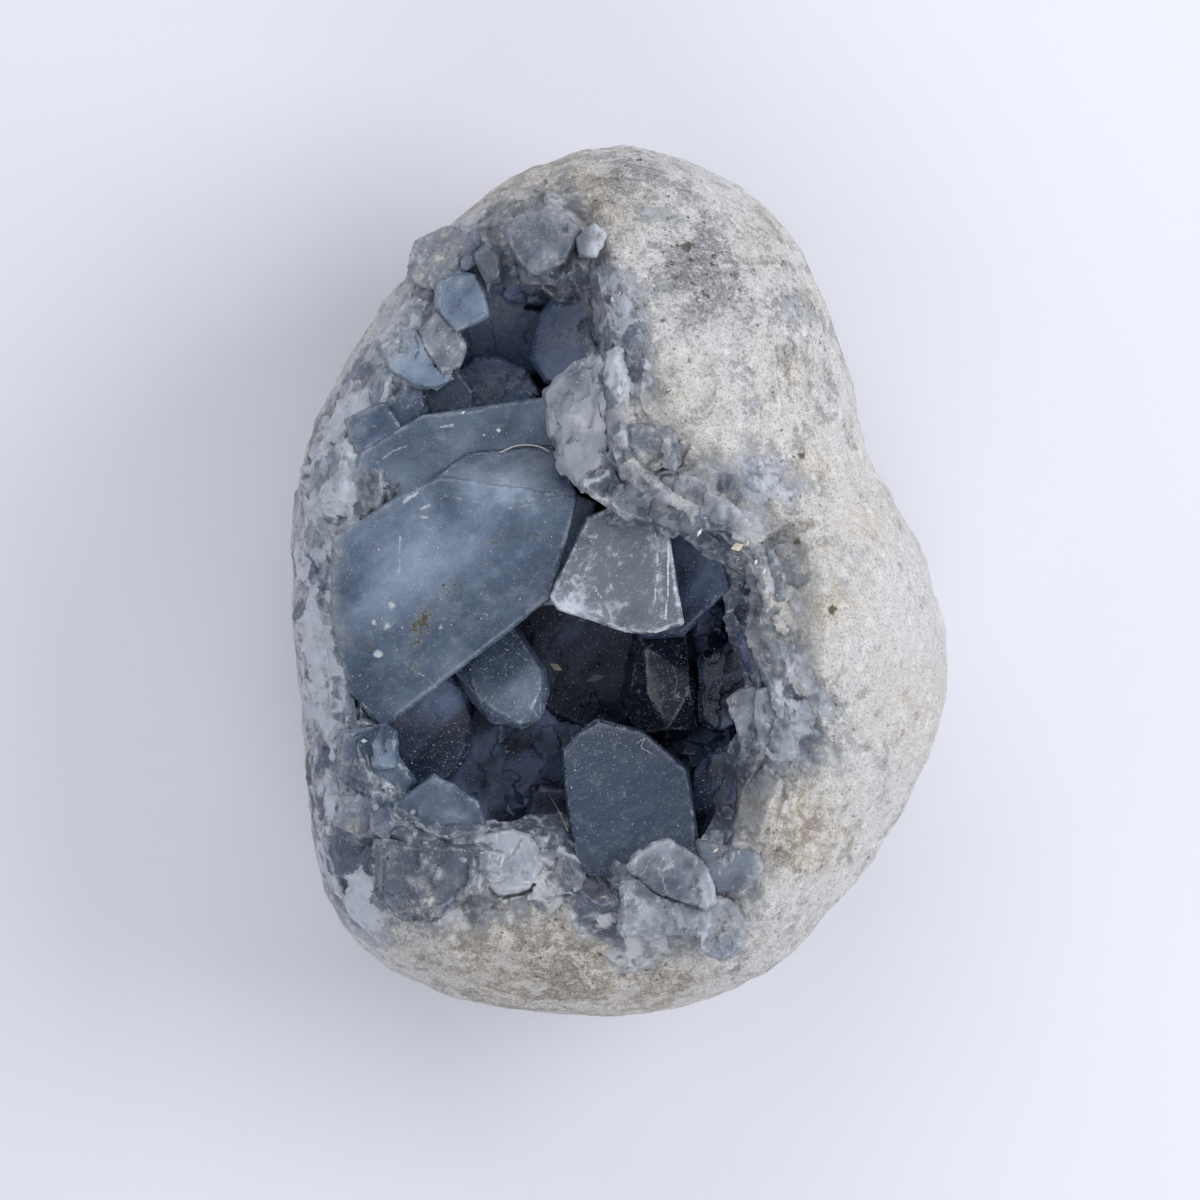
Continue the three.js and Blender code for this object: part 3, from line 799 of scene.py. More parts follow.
    def grid(self, columns: int, rows: tuple[int, int, int, int]) -> Array:
        """The shell as a grid of points: round it, and from its flat spot up and into the hollow.

        Args:
            columns: points round.
            rows: rows on the flat spot, the belly, the dome and in the hollow.

        Returns:
            Points of shape (columns, sum of rows, 3); the poles aren't in it.
        """
        angle = angles(columns)[:, None]
        girth = self.around(self.girth, angle)
        rim = self.around(self.rim, angle)
        power = 2 / self.fullness
        flat, belly, dome, bowl = rows
        start = math.asin(self.flat_share ** (1 / power))
        end = np.arcsin((rim / girth) ** (1 / power))
        share = self.flat_share * (1 + np.arange(flat)) / (flat + 1)
        parts = [(girth * share, np.zeros((columns, flat)))]
        t = np.sin(start + (math.pi / 2 - start) * np.arange(belly) / belly) ** power
        height = self.girth_height * (1 - self.section(t) / self.section(self.flat_share))
        parts.append((girth * t, np.broadcast_to(height, (columns, belly))))
        t = np.sin(math.pi / 2 + (end - math.pi / 2) * np.arange(dome) / dome) ** power
        parts.append((girth * t, self.dome(angle, t)))
        radius = rim * np.cos(math.pi / 2 * np.arange(bowl) / bowl)
        parts.append((radius, self.bowl(angle, radius)))
        reach = np.concatenate([p[0] for p in parts], axis=1)
        level = np.concatenate([p[1] for p in parts], axis=1)
        level[:, flat + belly:] -= self.sunk(angle, reach[:, flat + belly:])
        return self.turned(angle, reach, level)


def grid_normals(points: Array) -> Array:
    """Unit normals of a grid closed in its first direction: the cross product of its two steps."""
    along = np.roll(points, -1, axis=0) - np.roll(points, 1, axis=0)
    return unit(np.cross(along, np.gradient(points, axis=1)))


@dataclass(frozen=True)
class Blotch:
    """A soft round patch: where it is seen from above, how wide and how strong it is."""

    x: float
    y: float
    width: float
    strength: float = 1.0

    def paint(self, points: Array) -> Array:
        """Strength times a bell curve of the distance from its middle, which is ragged."""
        reach = np.hypot(points[..., 0] - self.x, points[..., 1] - self.y) / self.width
        ragged = 1 + 0.35 * fractal(points, 0.7 * self.width, 2, 311)
        return self.strength * np.exp(-((reach * ragged) ** 2))


@dataclass(frozen=True)
class Stroke:
    """A thin painted line, seen from above: its points, half its width and its strength."""

    path: Path
    width: float
    strength: float = 1.0

    def paint(self, points: Array) -> Array:
        """Strength times a bell curve of the distance from the line, which is slightly warped."""
        ends = np.array([self.path[:-1], self.path[1:]], float).transpose(1, 0, 2)
        away, _ = nearest_on(points[:, :2] + 0.35 * stray(points, 2.5, 1, 301, 2), ends)
        return self.strength * np.exp(-((away / self.width) ** 2))


Painted = tuple[Blotch | Stroke, ...]


def marked(*rows: tuple) -> Painted:
    """Marks from rows of numbers: a blotch's x, y, width and strength, or a stroke's path, width
    and strength."""
    return tuple((Stroke if isinstance(row[0], tuple) else Blotch)(*row) for row in rows)


def painted(points: Array, marks: Painted) -> Array:
    """Sum of painted marks at points of shape (..., 3), held between -1 and 1."""
    flat = points.reshape(-1, 3)
    total = sum((mark.paint(flat) for mark in marks), np.zeros(len(flat)))
    return np.clip(total, -1, 1).reshape(points.shape[:-1])


@dataclass
class Rock:
    """The rock: its finely shaped shell with a weathered outside and a crystalline broken rim."""

    nodule: Nodule
    # Points round it, and rows on its flat spot, its belly, its dome and in its hollow.
    columns: int = 430
    rows: tuple[int, int, int, int] = (8, 48, 112, 60)
    under_rim: float = 5.0
    # Two sizes of broken facets.
    plane_size: float = 6.0
    plane_height: float = 0.85
    chip_size: float = 2.6
    chip_height: float = 0.42
    ridge_height: float = 0.9
    window_heights: tuple[float, float] = (30.0, 50.0)
    # Where the rind is stained, and where it is darker.
    stains: Painted = marked(
        (-7, 66, 8), (-17, 62, 7), (-9, -62, 10), (-23, -58, 8, 1.0), (27, -44, 5, 1.0),
        (36, -4, 4, 0.8), (8, -69, 8, 0.5), (32, 20, 7, 0.6), (42, 10, 6, 0.6), (50, -22, 8, 0.5),
        (33, -42, 7, 0.7), (25, 60, 5, 0.5), (34, 49, 4, 0.5), (29, 36, 5, 0.55), (27, -5, 8, 0.5),
        (28, 8, 6, 0.4), (24, -36, 6, 0.4), (7, 31, 7, 0.5), (16, 21, 6, 0.3), (-21, -66, 11, 0.7),
        (0, -69, 12, 0.5), (28, -38, 6, 0.6), (-22, 66, 8, 0.5), (-12, 65, 6, 0.4))
    shades: Painted = marked(
        (2, 70, 6, 0.9), (12, 55, 7, 1.0), (26, 20, 4, 0.9), (30, 11, 6, 0.8), (34, -22, 7, 0.8),
        (28, 0, 5, 0.6), (5, -66, 4, 0.7), (30, 45, 8, 0.4), (-10, -62, 13, 0.6), (14, 54, 6, 0.4),
        (50, -5, 24, -0.7), (3.4, 32, 5, 0.7), (0, 46, 4, 0.8), (3, 40, 3, 0.7), (20, 48, 8, 0.15),
        (30, 30, 8, 0.1), (-4, 50, 5, 0.6))
    # Grey-blue windows in the rind.
    windows: Painted = marked(
        (26.5, 17.2, 4.2, 0.9), (22.5, 18, 3, 0.8), (31, 16, 2.2, 0.5), (33, -20, 6, 0.6),
        (36, -29, 5, 0.5), (28, -44, 4.5, -1.0), (1, -65.5, 3, 0.8), (-4, -58, 3.5, 0.9),
        (2, 36, 5, 0.6), (7, 62, 5, 0.5), (-51, -50, 7, 0.9), (-46, -60, 6, 0.6), (40, 3, 6, 0.4),
        (5, 48, 5, 0.4), (4, 32, 5, -0.1), (9, 26, 5, -0.5), (22, 25, 7, 0.35), (32, 47, 5, 0.3),
        (-50, 0, 22, 0.2), (-50, -30, 18, 0.2), (0, 45, 4, 0.4))
    # Where the crystalline ground is paler. The three strongest, over the glint crystal, are a
    # painted glint.
    frosts_and_glints: Painted = marked(
        (-53, 10, 13, 0.8), (-55, -10, 12, 0.8), (-52, -30, 10, 0.6), (-46, 30, 8, 0.7),
        (-22, -54, 6, 0.5), (-33, 38, 6, 0.5), (8.2, 14.4, 1.8, 2.3), (11.4, 14.2, 1.4, 2.2),
        (14.2, 12.4, 1.0, 2.0), (2.2, 15.5, 3.4, -1.1), (2.5, 22.8, 3.0, -0.8), (25, 27, 5, 0.6),
        (22.5, -3, 5, -0.6), (17, 5, 4, -0.5), (3.4, 20, 4, -0.4))
    # Raised pale ridges, where crystals lie under the rind.
    ridges: Painted = marked(
        (((34.6, -15.4), (39.5, -22.5), (45.0, -30.5)), 1.0),
        (((30.0, -16.5), (35.0, -24.0), (40.0, -31.5)), 0.8, 0.7))
    # Small dark pocks.
    pocks: Painted = marked(
        (0.3, 20.8, 0.9), (31, 21.8, 0.9), (30, 7.1, 0.7), (35.8, -4.5, 0.9), (11.5, 57.7, 1.3),
        (16, 56, 1.0, 0.8), (19, 52, 1.4, 0.7), (7.5, 45, 1.0, 0.8), (12, 38, 0.8, 0.8),
        (-12, -50, 0.8, 0.8), (22, 36.5, 0.9, 0.7), (28, 55, 0.7, 0.8))

    def masks(self, points: Array) -> dict[str, Array]:
        """What the rind's shader reads: which places are crystalline, stained, shaded and so on.

        Args:
            points: places of shape (..., 3).

        Returns:
            Numbers for each place, by name.
        """
        above = ease(*self.window_heights, points[..., 2])
        crystalline = self.nodule.crystalline(points)
        blank = np.zeros(points.shape[:-1])
        return {"crystalline": crystalline, "stain": painted(points, self.stains),
                "shade": painted(points, self.shades),
                "glassy": above * painted(points, self.windows) - painted(points, self.ridges),
                "spots": painted(points, self.pocks), "frost": painted(points, self.frosts_and_glints),
                "tone": blank + 0.5, "edge": blank, "hollow": blank}

    def relief(self, points: Array, crystalline: Array) -> tuple[Array, Array, Array]:
        """Lumps, knobs and grit on the rind; two sizes of broken facets where it is crystalline.

        Args:
            points: a grid of points on the plain shell.
            crystalline: how crystalline each is, 0 to 1.

        Returns:
            How far each point stands out, the tone of its facet and how near it is to an edge.
        """
        flat = points.reshape(-1, 3)
        lumps = 0.9 * fractal(flat, 24, 3, 11) + 0.45 * fractal(flat, 8, 3, 23)
        warp = flat + 0.9 * stray(flat, 3, 2, 161)
        planes, tone, gap = facets(warp, self.plane_size, 41)
        chips, shade, crack = facets(warp, self.chip_size, 59)
        share = ease(0.1, 0.7, crystalline.ravel())
        rough = lumps + 0.22 * fractal(flat, 2.8, 2, 37) + 0.14 * chips
        broken = lumps + self.plane_height * planes + self.chip_height * chips
        broken = broken + 0.15 * fractal(flat, 1.6, 2, 171) - 0.2
        ridges = self.ridge_height * painted(flat, self.ridges)
        lift = rough * (1 - share) + broken * share + ridges
        light = 0.5 + (1.2 * (tone - 0.5) + 0.9 * (shade - 0.5)) * share
        edge = np.exp(-((np.minimum(gap, crack * 1.8) / 0.30) ** 2)) * share
        return tuple(values.reshape(points.shape[:-1]) for values in (lift, light, edge))

    def hidden(self, points: Array) -> Array:
        """How far the rock is lowered under the broken rim, so that it doesn't show through it."""
        past = self.nodule.past_rim(points)
        share = past / self.nodule.reach_of_band(self.nodule.angle(points))
        high = ease(self.nodule.girth_height, 45, points[..., 2])
        return self.under_rim * ((1 - ease(0.5, 0.95, share)) * ease(-15, -9, past) * high)

    def closed(self, points: Array) -> tuple[Array, Array]:
        """Joins the shell's grid of points with triangles, and fans them from a point at each pole.

        Args:
            points: the grid, (columns, rows, 3).

        Returns:
            Corners, of which the last two are the poles, and triangles.
        """
        columns, count = points.shape[:2]
        centre = self.nodule.centre
        poles = np.array([[*centre, 0], [*centre, self.nodule.floor_height]])
        column = np.arange(columns)[:, None]
        following = (column + 1) % columns
        line = np.arange(count - 1)[None, :]
        quads = quads_between(column, line, following, line + 1, count)
        low, beside = column[:, 0] * count, following[:, 0] * count
        first = np.stack([np.full(columns, columns * count), beside, low], axis=-1)
        last = np.stack([low + count - 1, beside + count - 1,
                         np.full(columns, columns * count + 1)], axis=-1)
        faces = np.concatenate([quads[:, [0, 1, 2]], quads[:, [0, 2, 3]], first, last])
        return np.concatenate([points.reshape(-1, 3), poles]), faces

    def build(self, finish: bpy.types.Material) -> tuple[Array, Array]:
        """Makes the shell.

        Args:
            finish: the rind's material.

        Returns:
            Points and normals of the shell as grids, from the flat spot to the hollow's floor.
        """
        base = self.nodule.grid(self.columns, self.rows)
        normal = grid_normals(base)
        masks = self.masks(base)
        flat, belly, dome, _ = self.rows
        row = np.arange(sum(self.rows))
        inside = ease(0, 5, row - (flat + belly + dome) + 0.0)
        masks["hollow"] = np.broadcast_to(inside, base.shape[:2])
        lift, masks["tone"], masks["edge"] = self.relief(base, masks["crystalline"])
        lift = lift * ease(0.0, 3.0, base[..., 2]) * (1 - 0.6 * masks["hollow"])
        points = base + normal * lift[..., None]
        points[..., 2] = np.maximum(points[..., 2] - self.hidden(base), 0)
        corners, faces = self.closed(points)
        values = {key: np.append(mask.ravel(), [0, float(key == "hollow")])
                  for key, mask in masks.items()}
        shell = make_piece("rock", corners, faces, finish, True, values)
        declare(shell, ("matrix",))
        return points, grid_normals(points)


# ---------------------------------------------------------------- the crystals


@dataclass(frozen=True)
class Crystal:
    """One crystal or cluster: its solid's name, how clear and how light it is, how roughly it is
    broken, how many millimetres nearer to the rind it looks than it is, and how pale its edges
    are."""

    node: str
    clearness: Clearness
    tone: float
    rough: float = 0.0
    worn: float = 0.0
    keen: float = 1.0


MILKY, CLEAR, DEEP, FROSTED = Clearness
CRYSTALS = tuple(Crystal(*row) for row in (
    ("main_slab", MILKY, 0.30, 0.0, 2.5), ("clear_plate", CLEAR, 0.9), ("slab_side", MILKY, 0.25),
    ("ridge_mottled", FROSTED, 0.12, 0.7, 6.0), ("glint_crystal", CLEAR, 0.6, 0.4, 2.0),
    ("ridge_block", FROSTED, 0.25, 0.4, 3.0), ("ridge_massif", FROSTED, 0.95, 0.6, 10.5),
    ("back_slab", MILKY, 0.40, 0.0, 1.5), ("shade_block", DEEP, 0.18),
    ("east_wall", DEEP, 0.05, 0.4, 4.0), ("east_plates", FROSTED, 0.40, 0.3, 1.5),
    ("tall_blade", MILKY, -0.26), ("white_slab", FROSTED, 0.55, 0.4),
    ("south_clear", CLEAR, 0.55, 0.3), ("south_rim", FROSTED, 0.4, 0.4, 1.5),
    ("east_low", DEEP, 0.10, 0.4), ("south_east_block", DEEP, 0.12, 0.2),
    ("west_rounded", MILKY, 0.2), ("mottled_block", MILKY, 0.35, 0.2),
    ("white_block", FROSTED, 0.78, 0.3, 1.0), ("west_dark", DEEP, 0.27),
    ("foot_massif", FROSTED, -0.24, 0.6, -1.0), ("west_foot", MILKY, 0.2, 0.4, 2.0),
    ("west_blocks", MILKY, 0.25, 0.4, 2.0), ("light_block", MILKY, 0.57, 0.2),
    ("grey_prism", FROSTED, 0.35, 0.3), ("lilac_block", MILKY, 0.45, 0.4, 1.0),
    ("west_lilac", MILKY, 0.3, 0.4, 2.0), ("corner_block", MILKY, 0.3, 0.3, 1.0),
    ("north_point", CLEAR, 0.8), ("shoulder_block", MILKY, 0.35, 0.4, 2.0),
    ("north_block", FROSTED, 0.2, 0.3, 4.0), ("north_chip", CLEAR, 0.8),
    ("glassy_chip", CLEAR, 0.3), ("north_dark", DEEP, 0.50), ("north_inner", DEEP, 0.6, 0.4),
    ("north_floor", DEEP, 1.25, 0.3), ("navy_block", DEEP, 0.42, 0.3),
    ("west_triangle", MILKY, 0.12), ("centre_point", CLEAR, 0.10, 0.0, 0.0, 0.6),
    ("floor_centre", DEEP, 0.03, 0.2), ("floor_south", DEEP, 0.14, 0.2),
    ("floor_west", DEEP, 0.46, 0.4),
))


@dataclass(frozen=True)
class Marks:
    """What is painted on one crystal: soft lighter or darker patches, white lines, olive stains."""

    haze: Painted = ()
    white: Painted = ()
    stain: Painted = ()


MARKS = {
    "main_slab": Marks(
        haze=marked(
            (-35, 4, 8, 0.45), (-29, -14.5, 4, 0.2), (-26, -3, 5, -0.12), (-13, 4, 5, -0.10),
            (-24, 16, 3.5, 0.45), (-18, 16, 3.5, 0.45), (-12, 17, 2.5, -0.2), (-29, 14, 2.5, -0.2),
            (-46, -10, 6, -0.16), (-43, -20, 6, -0.14)),
        white=marked(
            (((-37.5, 8.6), (-37.6, 4.2), (-38.0, 1.4)), 0.26, 0.9),
            (((-36.9, 13.7), (-35.8, 14.9), (-34.6, 15.7)), 0.35),
            (((-34.0, 12.9), (-32.6, 13.3)), 0.4), (((-34.2, 11.5), (-33.0, 11.2)), 0.3),
            (((-35.6, 6.8), (-31.5, 2.0), (-28.7, -1.0)), 0.4, 0.45),
            (((-32.2, 8.4), (-28.0, 3.6), (-26.6, 0.5)), 0.3, 0.4),
            (((-30.5, 15.2), (-24.0, 14.0)), 0.3, 0.7),
            (((-19.0, 12.8), (-13.5, 14.0), (-9.5, 14.6)), 0.3, 0.7),
            (((-37.0, -13.5), (-33.5, -15.8), (-31.5, -18.0)), 0.25, 0.8), (-39.1, -3.7, 0.9),
            (-42.2, -6.6, 0.7), (-40, -7.3, 0.8), (-41.3, -12.0, 1.0, 1.2), (-30.8, -7.5, 0.6)),
        stain=marked(
            (-29, -0.6, 3, 0.74), (-33.2, -5.5, 2.6, 0.74), (-35, -9.4, 3.2, 0.72),
            (-35.4, -14.6, 2.4, 0.66), (-42.8, -10.8, 0.9, 1.2), (-21.5, 7.5, 2.6, 0.62),
            (-13.8, 8.2, 2.4, 0.62), (-20, -3, 2.4, 0.56))),
    "back_slab": Marks(
        haze=marked((-38, 17, 3.5, 0.28), (-18, 24, 4, -0.14), (-28, 24, 5, 0.06)),
        white=marked(
            (((-30.6, 26.6), (-28.4, 27.0)), 0.35),
            (((-41.9, 20.6), (-39.0, 22.6), (-36.5, 23.4)), 0.3, 0.8),
            (((-18.5, 30.0), (-14.5, 24.5)), 0.6, 0.5))),
    "clear_plate": Marks(
        haze=marked(
            (-9, -4.5, 5, 1.0), (0.5, 5.5, 5, 0.1), (-4, 1.5, 4, 0.3), (-3, -5, 3, 0.4),
            (((6.0, 9.0), (6.6, 2.0), (6.0, -4.0)), 2.2, 0.45)),
        white=marked(
            (((-7.0, 9.5), (-9.1, 4.2), (-11.5, -0.8)), 0.28, 0.9),
            (((-11.6, -2.2), (-8.8, -4.8), (-3.6, -7.0), (2.0, -8.2)), 0.3, 0.9),
            (((5.8, 9.0), (6.4, 2.4), (5.8, -3.0)), 0.22, 0.85),
            (((7.7, 8.5), (8.1, 1.0), (7.6, -6.0)), 0.26), (((-4.8, -0.2), (-3.2, -2.3)), 0.18),
            (1.6, -5.5, 1.5, 0.5), (((-6.0, 5.2), (-1.5, 4.9), (3.4, 4.0)), 0.25, 0.5),
            (((0.8, 3.0), (2.0, -1.0), (1.4, -4.0)), 0.22, 0.6)),
        stain=marked((-3, 11, 1.6, 0.8), (1.5, 10.4, 1.4, 0.8), (3.4, 6, 1.4, 0.7))),
    "ridge_block": Marks(
        white=marked(
            (((-5.8, 16.9), (-3.0, 17.6), (-0.8, 19.6)), 0.7, 0.9),
            (((-6.5, 15.5), (-2.0, 14.4)), 0.4, 0.9))),
    "ridge_massif": Marks(haze=marked((-4, 28, 4, 0.8))),
    "ridge_mottled": Marks(stain=marked((-1, 23, 2.5, 0.6), (4, 20, 1.6, 0.7))),
    # The glint crystal's white marks are painted glints: bright spots that stand in for light it
    # catches.
    "glint_crystal": Marks(
        haze=marked((12, 12, 3, 0.2), (17, 10, 3, -0.3)),
        white=marked(
            (6.8, 13.3, 1.3, 1.1), (9.6, 14.9, 1.3, 1.2), (12, 14.4, 0.9, 1.1),
            (14, 12.6, 0.7, 1.1), (10.4, 12.2, 0.8))),
    "west_rounded": Marks(
        haze=marked((-16, -19.2, 2.6, 0.32), (-22, -16.5, 4, 0.10)),
        white=marked(
            (((-19.8, -9.6), (-16.0, -13.4), (-13.8, -18.5)), 0.28, 0.75),
            (((-14.6, -20.4), (-17.5, -23.4), (-22.0, -23.0)), 0.35, 0.5),
            (((-20.5, -14.4), (-17.8, -14.2)), 0.22, 0.8))),
    "west_dark": Marks(haze=marked((-30, -20, 3, 0.35), (-34, -30, 4, -0.1))),
    "tall_blade": Marks(
        haze=marked((-3, -46, 5, 0.16), (-7, -33, 3.5, 0.08), (6, -29, 4, 0.06)),
        white=marked((-4.5, -52.5, 0.9), (((-9.3, -34.0), (-9.0, -41.0)), 0.3, 0.5))),
    "mottled_block": Marks(
        haze=marked((-29, -43.5, 4, 0.15), (-36, -43, 3, -0.3)),
        white=marked((-35.4, -39, 0.8), (-37.2, -40.2, 0.7)),
        stain=marked((-31.5, -38.5, 3.4, 0.56))),
    "east_plates": Marks(haze=marked((20.5, -22.5, 3, 0.4), (26, -24, 3, -0.15))),
    "white_slab": Marks(haze=marked((8, -49, 3, -0.12), (3, -48.5, 2.5, 0.2))),
    "floor_centre": Marks(stain=marked((-7.5, -11.5, 3, 0.4))),
    "centre_point": Marks(haze=marked((5, -15, 12, -0.2)),
                          white=marked((((4.5, -9.0), (1.6, -19.0)), 0.25, 0.6))),
    "light_block": Marks(
        haze=marked((-28, 47.5, 1.6, -0.2), (-33, 51, 2.0, -0.2), (-31, 44.5, 1.5, -0.2)),
        white=marked(
            (((-31.0, 47.4), (-30.6, 51.0)), 0.35, 0.8), (-33.5, 46.5, 1.5, 0.7),
            (-27.5, 51.5, 1.5, 0.7))),
    "north_floor": Marks(white=marked((-21, 47, 12, 0.8))),
    "north_dark": Marks(white=marked((-9, 42, 7, 0.66))),
    "lilac_block": Marks(white=marked((-43, 37.5, 5, 0.8))),
    "west_lilac": Marks(white=marked((-46, 33, 5, 0.7))),
    "white_block": Marks(haze=marked((-19, -46, 5, 0.3)), white=marked((-20, -50, 4, 0.7))),
}


@dataclass
class CrystalCutter:
    """Turns each crystal's plain solid into a finely meshed one with flat faces and worn edges."""

    nodule: Nodule
    # Width of the fine mesh's quads, and how near to a sharp edge a point is drawn onto it.
    voxel: float = 0.36
    snap: float = 0.16
    # Angles past which an edge of the solid counts as sharp, and one of the mesh is shown sharp.
    crease: float = math.radians(14)
    crease_shown: float = math.radians(28)
    # How far a crystal swells, how deeply it waves, and how deep and wide its edges are chipped.
    swell: float = 0.28
    wave: float = 0.07
    chip: float = 0.30
    edge_reach: float = 0.24
    # Two sizes of broken facets.
    facet: float = 4.6
    facet_height: float = 1.2
    chip_size: float = 2.2
    chip_height: float = 0.3
    # How far past the rim a crystal turns into rind, and how much lighter a deep one gets there.
    rind_ease: tuple[float, float] = (-2.5, 4.5)
    rim_ease: tuple[float, float] = (-8.0, 1.0)
    rim_light: float = 0.25
    rind_crystalline: float = 0.75

    def cleaved(self, points: Array, size: float, seed: int) -> tuple[Array, Array]:
        """Height and tone of long, ragged broken facets: the field is sheared and warped first."""
        shear = np.array([[1.35, 0.35, 0.2], [-0.55, 0.65, 0.3], [0.1, -0.3, 1.0]])
        height, tone, _ = facets((points + 0.8 * stray(points, 2.4, 3, seed + 40)) @ shear,
                                 size, seed)
        return height, tone

    def merged(self, node: str) -> bpy.types.Object:
        """A copy of a solid with its loose triangles joined.

        Args:
            node: the solid's name.

        Returns:
            The copy, as an object of its own.
        """
        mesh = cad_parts[node].data.copy()
        bm = bmesh.new()
        bm.from_mesh(mesh)
        bmesh.ops.remove_doubles(bm, verts=bm.verts, dist=1e-6)
        bm.to_mesh(mesh)
        bm.free()
        return placed("carrier", mesh)

    def creases(self, mesh: bpy.types.Mesh) -> Array:
        """A mesh's sharp edges.

        Args:
            mesh: the mesh, closed and in metres.

        Returns:
            The edges' ends in millimetres, shape (E, 2, 3).
        """
        bm = bmesh.new()
        bm.from_mesh(mesh)
        sharp = [[v.co[:] for v in edge.verts] for edge in bm.edges
                 if edge.is_manifold and edge.calc_face_angle(0) > self.crease]
        bm.free()
        return np.array(sharp) / MM

    def read(self, rows: bpy.types.bpy_prop_collection, key: str, count: int,
             kind: type = np.float32) -> Array:
        """One property of every row of a mesh's data, as a flat array."""
        values = np.empty(count, kind)
        rows.foreach_get(key, values)
        return values

    def remesh(self, node: str) -> tuple[Array, Array, Array, Array]:
        """The solid as an even mesh of small quads that lie on its flat faces.

        Args:
            node: the solid's name.

        Returns:
            Points in millimetres, quads, unit normals and the sharp edges' ends.
        """
        plain, carrier = self.merged(node), self.merged(node)
        creases = self.creases(plain.data)
        even = carrier.modifiers.new("even", "REMESH")
        even.mode = "VOXEL"
        even.voxel_size = self.voxel * MM
        calm = carrier.modifiers.new("calm", "SMOOTH")
        calm.factor = 0.5
        calm.iterations = 5
        snug = carrier.modifiers.new("snug", "SHRINKWRAP")
        snug.target = plain
        snug.wrap_method = "NEAREST_SURFACEPOINT"
        made = carrier.evaluated_get(bpy.context.evaluated_depsgraph_get()).to_mesh()
        corners = len(made.vertices)
        points = self.read(made.vertices, "co", corners * 3)
        normals = self.read(made.vertex_normals, "vector", corners * 3)
        quads = self.read(made.loops, "vertex_index", len(made.loops), np.int32)
        for helper in (plain, carrier):
            mesh = helper.data
            bpy.data.objects.remove(helper)
            bpy.data.meshes.remove(mesh)
        return (points.reshape(-1, 3).astype(float) / MM, quads.reshape(-1, 4),
                normals.reshape(-1, 3).astype(float), creases)

    def dress(self, crystal: Crystal, points: Array, edge: Array, plane: Array
              ) -> dict[str, Array]:
        """What the crystal's shader reads, for each of its points.

        Deep crystals grow lighter towards the rim, and all of them turn into rind past it. On a
        rough crystal each broken plane has its own tone.

        Args:
            crystal: which one.
            points: its points.
            edge: how near each is to a sharp edge, 0 to 1.
            plane: a random number for the broken plane that each is on, 0 to 1.

        Returns:
            The numbers, by name.
        """
        cloudy = self.nodule.past_rim(points) + crystal.worn + 2.2 * fractal(points, 5, 4, 111)
        tone = crystal.tone + 0.5 * crystal.rough * (plane - 0.5)
        if crystal.clearness is Clearness.DEEP:
            tone = tone + self.rim_light * ease(*self.rim_ease, cloudy)
        marks = MARKS.get(crystal.node, Marks())
        return {"tone": tone, "edge": edge * crystal.keen,
                "rocky": ease(*self.rind_ease, cloudy),
                "haze": painted(points, marks.haze) + crystal.rough * fractal(points, 4, 4, 231),
                "white": painted(points, marks.white),
                "stain": painted(points, marks.stain),
                "crystalline": np.full(len(points), self.rind_crystalline)}

    def build(self, crystal: Crystal, inner: bpy.types.Material, rimmed: bpy.types.Material
              ) -> tuple[Array, Array]:
        """Makes one crystal: swollen to meet its neighbours, faintly waved, chipped at its edges.

        Args:
            crystal: which one, and how it looks.
            inner: its material if it keeps clear of the rim.
            rimmed: its material if it reaches the rim and turns into rind there.

        Returns:
            Its points and normals.
        """
        points, quads, normals, creases = self.remesh(crystal.node)
        away, place = nearest_on(points, creases)
        points = np.where((away < self.snap)[:, None], place, points)
        edge = np.exp(-((away / self.edge_reach) ** 2))
        planes, plane_tone = self.cleaved(points, self.facet, 207)
        masks = self.dress(crystal, points, edge, plane_tone)
        wave = self.wave * fractal(points, 9, 2, 71)
        bites = ease(0.25, 0.8, fractal(points, 3.0, 3, 83)) * edge * self.chip
        chips, _ = self.cleaved(points, self.chip_size, 201)
        broken = (self.facet_height * planes * crystal.rough
                  + self.chip_height * chips * masks["rocky"])
        points = points + normals * (self.swell + wave - bites + broken)[:, None]
        finish = rimmed if masks["rocky"].max() > 0.05 else inner
        piece = make_piece(crystal.node + "_crystal", points, quads, finish, True, masks,
                           self.crease_shown)
        declare(piece, (crystal.node,))
        return points, normals


# ---------------------------------------------------------------- small things


